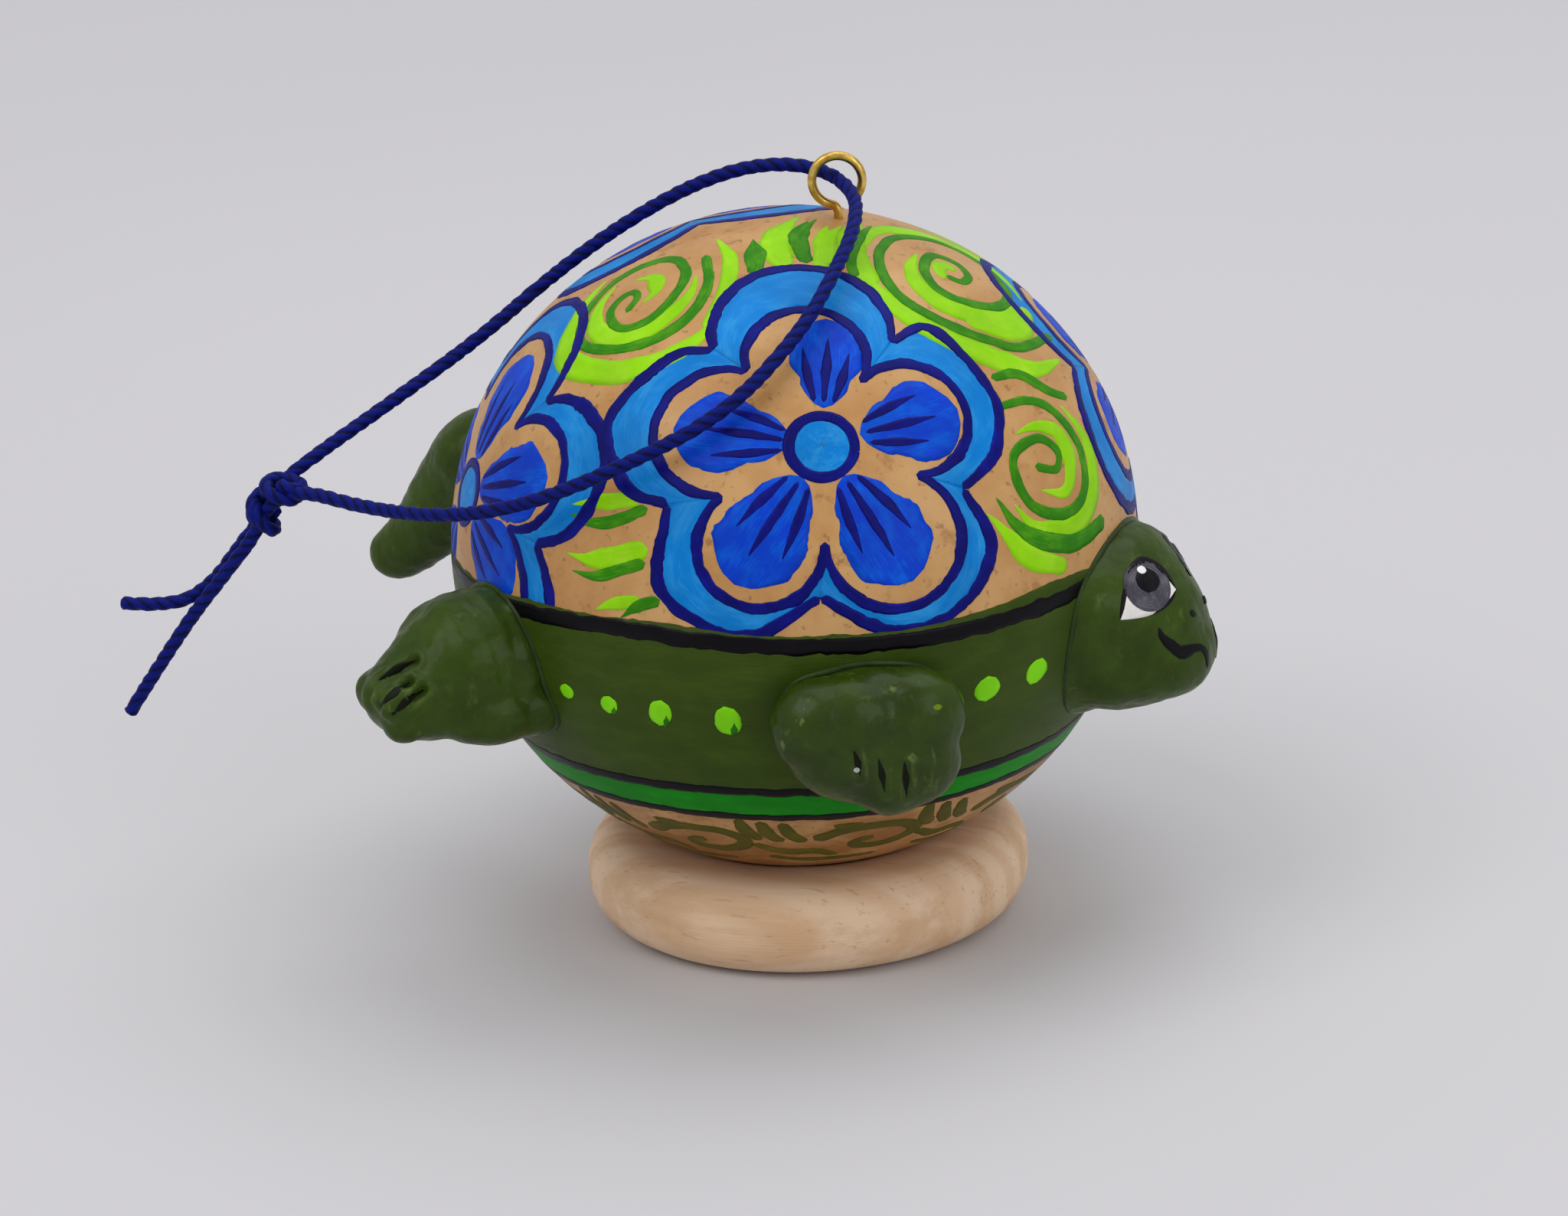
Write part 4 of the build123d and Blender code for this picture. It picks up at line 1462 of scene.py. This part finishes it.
                drop = rise * 1.35
                coats.leaf.stroke(chart, [root - drop, middle - drop, tip - drop], (0.5, 1.1, 0.8), Tip.TAPER,
                                  Tip.ROUND, 0.12)

    def belly(self, coats: CoatSet) -> None:
        """Olive-brown scrolls under the bands, all the way round."""
        for lon in range(-180, 180, 40):
            chart = SkinChart(self.form, lon - 3, -48)
            shake = 0.6 * noise.noise(Vector((lon * 0.13, 1.0, 2.0)))
            for off in (-9.4, -7.2, -5.0):
                coats.scroll.stroke(chart, [(off, 5.6), (off + 1.0 + shake, 3.0), (off + 2.6, 1.2)],
                                    (0.6, 0.9, 0.7), rough=0.14)
            spiral = [(0.42 * (i + 1) * math.cos(1.4 + 0.55 * i) + 4.4,
                       0.27 * (i + 1) * math.sin(1.4 + 0.55 * i) + 0.4)
                      for i in range(15)]
            coats.scroll.stroke(chart, spiral, (0.7, 0.95, 0.8, 1.0), rough=0.14)
            coats.scroll.stroke(chart, [(-7.6, 0.0), (-4.4, -1.7), (-1.2, -1.6), (0.9, -3.4)],
                                (0.6, 1.0, 0.6), rough=0.14)
            coats.scroll.stroke(chart, [(-5.8, -3.6), (-2.6, -4.6), (1.2, -4.8), (5.0, -4.9)],
                                (0.6, 0.9, 0.5), rough=0.14)
            coats.scroll.stroke(chart, [(0.2, 5.0), (1.6, 4.4), (3.4, 4.6)], (0.5, 0.9, 0.5), rough=0.14)

    def build(self) -> None:
        """Paint everything and hand the coats over."""
        coats = CoatSet()
        self.flowers(coats)
        self.strokes(coats)
        self.far_side(coats)
        self.bands(coats)
        self.dots(coats)
        self.belly(coats)
        coats.finish()


# ---------------------------------------------------------------- limbs


@dataclass(frozen=True)
class Lump:
    """One pressed lump of clay in the limb frame: radial, sideways and up from the gourd's middle."""

    centre: Triple
    radii: Triple
    pitch: float = 0.0


@dataclass(frozen=True)
class Groove:
    """A line pressed into a limb with a tool."""

    start: Triple
    end: Triple
    width: float
    depth: float


@dataclass
class Limb:
    """A clay limb pressed onto the gourd.

    Args:
        name: The piece's name.
        nodes: The CAD nodes it stands for.
        glue: The CAD node of its glue.
        angle: Where it sits round the gourd, in degrees.
        lumps: What it is pressed from.
        grooves: The lines pressed into it, in the limb frame.
        seen_grooves: More of them, by radial and upward start and end as the viewer sees them, and by
            width and depth.
    """

    name: str
    nodes: Sequence[str]
    glue: str
    angle: float
    lumps: Sequence[Lump]
    grooves: Sequence[Groove] = ()
    seen_grooves: Sequence[tuple[Pair, Pair, float, float]] = ()
    voxel: float = 0.3
    smoothing: int = 5
    mirrored: bool = False

    def frame(self, form: GourdForm) -> Matrix:
        """The limb frame in the row frame, in millimetres."""
        return Matrix.Translation(form.centre) @ Matrix.Rotation(math.radians(self.angle), 4, "Z")

    def _pressed(self) -> bmesh.types.BMesh:
        """The lumps as one clay skin."""
        rough = bmesh.new()
        for lump in self.lumps:
            made = bmesh.ops.create_icosphere(rough, subdivisions=4, radius=1.0)["verts"]
            flip = -1.0 if self.mirrored else 1.0
            turn = Matrix.Rotation(math.radians(lump.pitch), 3, "Y")
            for vert in made:
                local = turn @ Vector([c * r for c, r in zip(vert.co.normalized(), lump.radii)])
                vert.co = local + Vector((lump.centre[0], lump.centre[1] * flip, lump.centre[2]))
        data = bpy.data.meshes.new(f"{self.name}_lumps")
        rough.to_mesh(data)
        rough.free()
        holder = bpy.data.objects.new(f"{self.name}_lumps", data)
        bpy.context.scene.collection.objects.link(holder)
        joined = holder.modifiers.new("press", "REMESH")
        joined.mode, joined.voxel_size = "VOXEL", self.voxel
        seen = bpy.context.evaluated_depsgraph_get()
        pressed = bpy.data.meshes.new_from_object(holder.evaluated_get(seen))
        clay = bmesh.new()
        clay.from_mesh(pressed)
        bpy.data.objects.remove(holder)
        bpy.data.meshes.remove(data)
        bpy.data.meshes.remove(pressed)
        for _ in range(self.smoothing):
            bmesh.ops.smooth_vert(clay, verts=clay.verts, factor=0.5, use_axis_x=True, use_axis_y=True,
                                  use_axis_z=True)
        return clay

    def slant(self) -> Vector:
        """The way the viewer looks from, in the frame of the limb on the right side."""
        return Matrix.Rotation(math.radians(abs(self.angle)), 3, "Z") @ VIEW_WAY

    def _tool(self, clay: bmesh.types.BMesh) -> None:
        """Press the grooves and leave finger-worked unevenness."""
        clay.normal_update()
        flip = -1.0 if self.mirrored else 1.0
        moves = []
        lines = list(self.grooves)
        if self.seen_grooves:
            tree = BVHTree.FromBMesh(clay)
            way = self.slant()
            slant = Vector((way.x, way.y * flip, way.z))
            for start, end, width, depth in self.seen_grooves:
                spots = []
                for radial, up in (start, end):
                    local = Vector((radial, 0.0, up))
                    hit, _, _, _ = tree.ray_cast(local + slant * 30.0, -slant, 60.0)
                    hit = hit or local
                    spots.append((hit.x, hit.y * flip, hit.z))
                lines.append(Groove(spots[0], spots[1], width, depth))
        for vert in clay.verts:
            spot = Vector((vert.co.x, vert.co.y * flip, vert.co.z))
            press = 0.16 * noise.noise(spot * 0.34 + Vector((self.angle, 0, 0)))
            press += 0.05 * noise.noise(spot * 1.1)
            for groove in lines:
                a, b = Vector(groove.start), Vector(groove.end)
                share = max(0.0, min(1.0, (spot - a).dot(b - a) / (b - a).length_squared))
                near = (spot - a.lerp(b, share)).length
                fade = 1.0 - 0.4 * share
                press -= groove.depth * fade * math.exp(-((near / (groove.width * fade)) ** 2))
                press += 0.25 * groove.depth * math.exp(-(((near - 2.1 * groove.width) / groove.width) ** 2))
            moves.append(vert.normal * press)
        for vert, move in zip(clay.verts, moves):
            vert.co += move

    def sculpt(self, form: GourdForm) -> bmesh.types.BMesh:
        """The limb in the row frame, its back pressed against the gourd."""
        clay = self._pressed()
        self._tool(clay)
        bmesh.ops.transform(clay, matrix=self.frame(form), verts=clay.verts)
        for vert in clay.verts:
            if form.height(vert.co) < 0.0:
                vert.co = form.skin(form.way_to(vert.co), -SEAT_DEPTH)
        bmesh.ops.recalc_face_normals(clay, faces=clay.faces)
        return clay

    def bead(self, form: GourdForm, tree: BVHTree, middle: Vector) -> bmesh.types.BMesh:
        """The bead of glue and paint round the joint with the gourd.

        Args:
            form: The gourd.
            tree: The limb's surface.
            middle: A point well inside the joint.
        """
        way = form.way_to(middle)
        longitude = math.degrees(math.atan2(way.y, way.x))
        latitude = math.degrees(math.asin(max(-1.0, min(1.0, way.z))))
        chart = SkinChart(form, longitude, latitude)
        count = 120
        reach: list[float] = []
        for i in range(count):
            out = 1.0
            while out < 14.0:
                spot, normal = chart.spot(*polar(out, 360.0 * i / count))
                point = spot + normal * 0.45
                hit, facing, _, _ = tree.find_nearest(point)
                if (point - hit).dot(facing) > 0 and (point - hit).length > 0.02:
                    break
                out += 0.12
            reach.append(out)
        for _ in range(2):
            reach = [sorted(reach[(i + k) % count] for k in range(-4, 5))[4] for i in range(count)]
        eased = [sum(reach[(i + k) % count] for k in range(-3, 4)) / 7 for i in range(count)]
        mesh = bmesh.new()
        mesh.verts.layers.float_vector.new("stroke")
        made = bmesh.ops.create_grid(mesh, x_segments=count, y_segments=12, size=1.0)["verts"]
        for vert in made:
            i = round((vert.co.x + 1) / 2 * count) % count
            angle = (vert.co.y + 1) * math.pi
            thick = 0.36 + 0.1 * noise.noise(Vector((3 * math.cos(math.tau * i / count), 0.0,
                                                     3 * math.sin(math.tau * i / count))))
            spot, normal = chart.spot(*polar(eased[i] + thick * math.cos(angle), 360.0 * i / count))
            vert.co = spot + normal * (0.05 + thick * 0.8 * math.sin(angle))
        bmesh.ops.remove_doubles(mesh, verts=mesh.verts, dist=0.003)
        return mesh

    def build(self, form: GourdForm, finish: bpy.types.Material, shaded_glue_finish: bpy.types.Material) -> BVHTree:
        """Sculpt the limb and its bead, and hand both over.

        Returns:
            The limb's surface for painting, in millimetres.
        """
        clay = self.sculpt(form)
        tree = BVHTree.FromBMesh(clay)
        seat = [v.co for v in clay.verts if abs(form.height(v.co) + SEAT_DEPTH) < 0.05]
        middle = sum(seat, Vector()) / max(1, len(seat))
        bead = self.bead(form, tree, middle)
        make_piece(clay, self.name, finish, Body.FIGURE, self.nodes)
        make_piece(bead, f"{self.name}_bead", shaded_glue_finish, Body.FIGURE, [self.glue])
        return tree


@dataclass
class TurtleLimbs:
    """Head, tail and four legs."""

    form: GourdForm

    def head(self) -> Limb:
        """The blunt head."""
        return Limb(
            "head_clay", ["head"], "head_glue", 0.0,
            [Lump((33.0, 0, -5.4), (7.0, 10.9, 9.1)), Lump((30.6, 0, -5.7), (5.8, 12.1, 10.1)),
             Lump((33.2, 0, -2.7), (6.4, 10.9, 6.4)), Lump((35.0, 0, -4.1), (6.0, 9.9, 7.8)),
             Lump((37.0, 0, -5.2), (4.9, 8.4, 7.2)), Lump((38.8, 0, -6.6), (4.6, 7.1, 6.0)),
             Lump((39.4, 0, -8.8), (4.9, 6.6, 4.9)), Lump((36.8, 0, -9.4), (6.2, 8.2, 5.0)),
             Lump((34.6, 0, -9.2), (6.8, 9.6, 5.6))],
            smoothing=26,
        )

    def tail(self) -> Limb:
        """The drooping tail."""
        chain = ((34.2, 5.0, 6.2), (36.0, 3.9, 5.4), (37.6, 2.4, 4.9), (39.1, 0.7, 4.5), (40.5, -1.0, 4.1),
                 (41.9, -2.5, 3.8), (43.3, -3.8, 3.5), (44.6, -4.8, 3.2), (45.7, -5.5, 2.9))
        return Limb("tail_clay", ["tail"], "tail_glue", 180.0,
                    [Lump((out, 0, up), (size, size * 0.92, size)) for out, up, size in chain], smoothing=16)

    def front_leg(self, mirrored: bool) -> Limb:
        """A paddle-shaped front leg with three toe slits."""
        side, angle = ("left", 56.0) if mirrored else ("right", -56.0)
        return Limb(
            f"leg_front_{side}_clay", [f"leg_front_{side}"], f"leg_front_{side}_glue", angle,
            [Lump((36.2, -1.4, -8.8), (4.6, 8.5, 6.8)), Lump((36.6, -6.0, -7.2), (4.1, 5.1, 4.8)),
             Lump((36.9, -3.0, -6.8), (4.1, 5.6, 4.6)), Lump((37.0, 3.0, -7.2), (4.1, 4.9, 5.0)),
             Lump((36.8, 2.6, -11.0), (4.5, 4.7, 5.0)), Lump((36.6, 0.4, -12.0), (4.5, 4.8, 4.8)),
             Lump((36.5, -3.6, -9.7), (4.5, 5.4, 4.8)), Lump((33.4, -1.6, -8.9), (4.0, 7.8, 6.5))],
            [Groove((41.2, -3.9, -8.7), (41.0, -3.4, -11.3), 0.34, 0.7),
             Groove((41.4, -1.6, -9.7), (41.0, -1.1, -13.2), 0.34, 0.75),
             Groove((41.4, 0.9, -10.2), (41.0, 1.0, -14.0), 0.34, 0.75)],
            smoothing=14, mirrored=mirrored,
        )

    def rear_leg(self, mirrored: bool) -> Limb:
        """A rear leg with a spread foot, toe grooves and a small claw."""
        side, angle = ("left", 127.0) if mirrored else ("right", -127.0)
        chain = ((33.0, -5.6, 7.2, 7.5), (35.0, -5.6, 7.3, 7.5), (37.0, -5.5, 7.1, 7.5),
                 (38.8, -5.4, 7.0, 7.2), (40.2, -5.5, 6.8, 7.0), (41.6, -6.0, 6.4, 6.3),
                 (43.0, -6.6, 6.0, 5.6), (44.4, -7.1, 5.5, 4.8), (45.8, -7.3, 4.8, 3.8))
        return Limb(
            f"leg_rear_{side}_clay", [f"leg_rear_{side}"], f"leg_rear_{side}_glue", angle,
            [*[Lump((out, 0, up), (3.3, wide, tall)) for out, up, wide, tall in chain],
             Lump((37.2, 2.6, -9.5), (6.0, 5.2, 3.6)), Lump((33.6, 1.6, -9.4), (5.0, 6.2, 3.8)),
             Lump((39.6, -3.6, -4.2), (4.6, 2.4, 4.6), pitch=-25), Lump((46.9, 2.6, -6.6), (2.3, 2.0, 2.3)),
             Lump((47.3, -0.4, -6.9), (2.3, 2.0, 2.4)), Lump((46.9, -3.2, -7.2), (2.1, 1.8, 2.2)),
             Lump((46.4, 2.0, -9.2), (2.4, 2.4, 2.0)), Lump((48.8, 1.6, -5.7), (1.5, 0.5, 0.6), pitch=35)],
            seen_grooves=[((43.6, -3.9), (47.9, -5.0), 0.4, 0.8), ((44.2, -6.0), (47.6, -7.7), 0.4, 0.8),
                          ((42.7, -7.1), (46.3, -8.9), 0.4, 0.8)],
            smoothing=12, mirrored=mirrored,
        )

    def paint_face(self, tree: BVHTree, limb: Limb) -> None:
        """Paint the eyes, mouth and nostrils on both sides."""
        chart = SculptChart(tree, limb.frame(self.form), -7.5, VIEW_WAY)
        white = PaintCoat(
            "eye_white", BrushedPaint("eye_white_paint", (238, 236, 232), (214, 212, 210), 0.4), 0.05, 5.0)
        iris = PaintCoat(
            "eye_iris", BrushedPaint("iris_paint", (70, 68, 78), (112, 110, 120), 0.9), 0.08, 6.0)
        pupil = PaintCoat(
            "eye_pupil", BrushedPaint("pupil_paint", (8, 6, 10), (40, 36, 42), 0.5), 0.115, 9.0)
        ink = PaintCoat(
            "face_ink", BrushedPaint("face_ink_paint", (12, 10, 14), (34, 30, 34), 0.3), 0.07, 7.0)
        glint = PaintCoat(
            "eye_glint", BrushedPaint("glint_paint", (248, 248, 248), (232, 232, 236), 0.2), 0.15, 8.0)
        lid = [(36.8, -3.5), (37.1, -2.1), (37.5, -0.5), (38.3, 1.7), (39.5, 2.9), (41.0, 2.6),
               (42.3, 1.5), (43.2, 0.2)]
        low = [(36.8, -3.5), (37.9, -3.35), (39.2, -3.05), (40.4, -2.6), (41.6, -1.75),
               (42.6, -0.8), (43.2, 0.2)]
        upper, lower = even_line(smooth_line(lid), 33), even_line(smooth_line(low), 33)
        white.patch(chart, lower, upper, rough=(0.04, 0.04), across=10)
        disc = [Vector((39.95, 0.2)) + Vector(polar(2.6, a)) for a in range(0, 361, 10)]
        hub = [Vector((39.95, 0.2)) + Vector(polar(0.03, a)) for a in range(0, 361, 10)]
        iris.patch(chart, hub, disc, closed=True, rough=(0.0, 0.03), across=6)
        pupil.dot(chart, (40.0, 0.85), (1.3, 1.3))
        ink.stroke(chart, lid, (0.35, 0.5, 0.75, 0.75, 0.45), Tip.TAPER, Tip.TAPER, 0.1)
        ink.stroke(chart, [(40.4, -2.65), (41.6, -1.8), (42.6, -0.85), (43.2, 0.2)], (0.2, 0.35, 0.3),
                   Tip.TAPER, Tip.TAPER, 0.1)
        glint.dot(chart, (39.4, 1.85), (0.52, 0.42))
        mouth = [(41.0, -4.0), (41.4, -4.9), (42.3, -5.6), (43.3, -6.4), (44.5, -5.9), (45.7, -5.6),
                 (46.3, -6.4), (46.4, -7.7)]
        ink.stroke(chart, mouth, (1.7, 1.75, 1.45, 1.2, 0.85, 0.75, 0.5), Tip.TAPER, Tip.TAPER, 0.2)
        ink.stroke(chart, [(44.7, -1.8), (45.1, -2.5)], (0.5, 0.6), rough=0.1)
        for coat in (white, iris, pupil, ink, glint):
            coat.mirror_all()
            coat.finish(Body.FIGURE, "painted_clay")

    def paint_toes(self, tree: BVHTree, limb: Limb, coat: PaintCoat, flip: float) -> None:
        """Paint shade into the bottoms of a front leg's toe slits: dark paint where the slits' shadow falls.
        """
        slant = Vector((1.0, 0.0, 0.0))
        if flip > 0:
            slant = limb.frame(self.form).to_3x3().inverted() @ VIEW_WAY
        chart = SculptChart(tree, limb.frame(self.form), 40.5, slant, radial=True)
        for points in ([(-3.9, -8.6), (-3.6, -9.9), (-3.4, -11.2)],
                       [(-1.6, -9.6), (-1.3, -11.4), (-1.1, -13.1)],
                       [(0.9, -10.2), (1.0, -12.0), (1.0, -13.9)]):
            slit = [(y * flip, z) for y, z in points]
            coat.stroke(chart, slit, (0.55, 0.7, 0.3), Tip.TAPER, Tip.TAPER, 0.15)

    def paint_rear_toes(self, tree: BVHTree, limb: Limb, coat: PaintCoat) -> None:
        """Paint shade into a rear foot's toe grooves: dark paint where their shadow falls."""
        way = limb.slant()
        slant = Vector((way.x, -way.y if limb.mirrored else way.y, way.z))
        chart = SculptChart(tree, limb.frame(self.form), 0.0, slant)
        for (start, end, _, _) in limb.seen_grooves:
            middle = ((start[0] + end[0]) / 2, (start[1] + end[1]) / 2 + 0.15)
            coat.stroke(chart, [start, middle, end], (0.45, 0.95, 0.7), Tip.TAPER, Tip.TAPER, 0.18)

    def build(self) -> None:
        """Sculpt and paint every limb."""
        clay = PaintedClay("olive_painted_clay").build()
        # The front legs' clay turns paler on its edges: more rubbed wear and more painted highlight.
        paddle = PaintedClay("worn_and_edge_lit_olive_clay", (48, 68, 8), (28, 42, 2), edge_wear_and_light=0.8, coat=0.22).build()
        # The joint bead is real glue and paint; its darker olive is partly painted shade for the shadow line
        # along the joint.
        glue = PaintedClay("shaded_olive_joint_bead", (44, 64, 22), (26, 38, 14), (70, 90, 44), 0.2).build()
        head = self.head()
        self.paint_face(head.build(self.form, clay, glue), head)
        self.tail().build(self.form, clay, glue)
        # Painted shade: dark paint laid in the toe slits and grooves where their shadow falls.
        dark = PaintCoat(
            "toe_ink", BrushedPaint("toe_groove_shade_paint", (16, 20, 10), (30, 36, 20), 0.3), 0.04, 12.0)
        chips = PaintCoat(
            "bare_clay_chip", BrushedPaint("bare_clay", (186, 194, 190), (150, 158, 150), 0.5), 0.1, 13.0)
        drips = PaintCoat(
            "lime_drip", BrushedPaint("drip_paint", (104, 130, 10), (84, 106, 14), 0.7), 0.05, 14.0)
        for mirrored in (False, True):
            front = self.front_leg(mirrored)
            tree = front.build(self.form, paddle, glue)
            self.paint_toes(tree, front, dark, -1.0 if mirrored else 1.0)
            if not mirrored:
                slant = front.frame(self.form).to_3x3().inverted() @ VIEW_WAY
                chart = SculptChart(tree, front.frame(self.form), 40.5, slant, radial=True)
                chips.dot(chart, (-3.75, -10.5), (0.3, 0.26))
                drips.dot(chart, (4.3, -5.2), (0.5, 0.3))
            rear = self.rear_leg(mirrored)
            self.paint_rear_toes(rear.build(self.form, clay, glue), rear, dark)
        for coat in (dark, chips, drips):
            coat.finish(Body.FIGURE, "painted_clay")


# ---------------------------------------------------------------- assembly


def dress_nodes() -> None:
    """Give the CAD nodes that stay their finishes."""
    for name, finish in (("screw_eye", BrassWire().build()), ("dried_seeds", SeedHull().build())):
        node = bpy.data.objects[name]
        node.data.materials.clear()
        node.data.materials.append(finish)
        for polygon in node.data.polygons:
            polygon.use_smooth = True
        log.info("%s: dressed", name)


def main() -> None:
    """Build every sub-assembly in order."""
    logging.basicConfig(level=logging.INFO, format="%(name)s: %(message)s")
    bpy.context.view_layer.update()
    studio = Studio()
    studio.place_camera()
    HangingCord().build()
    low, high = node_box("gourd_shell")
    form = GourdForm((low + high) / 2, (high - low) / 2)
    RingStand().build()
    GourdShell(form).build()
    ShellPainting(form).build()
    TurtleLimbs(form).build()
    dress_nodes()
    studio.build()
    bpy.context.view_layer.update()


if __name__ == "__main__":
    main()
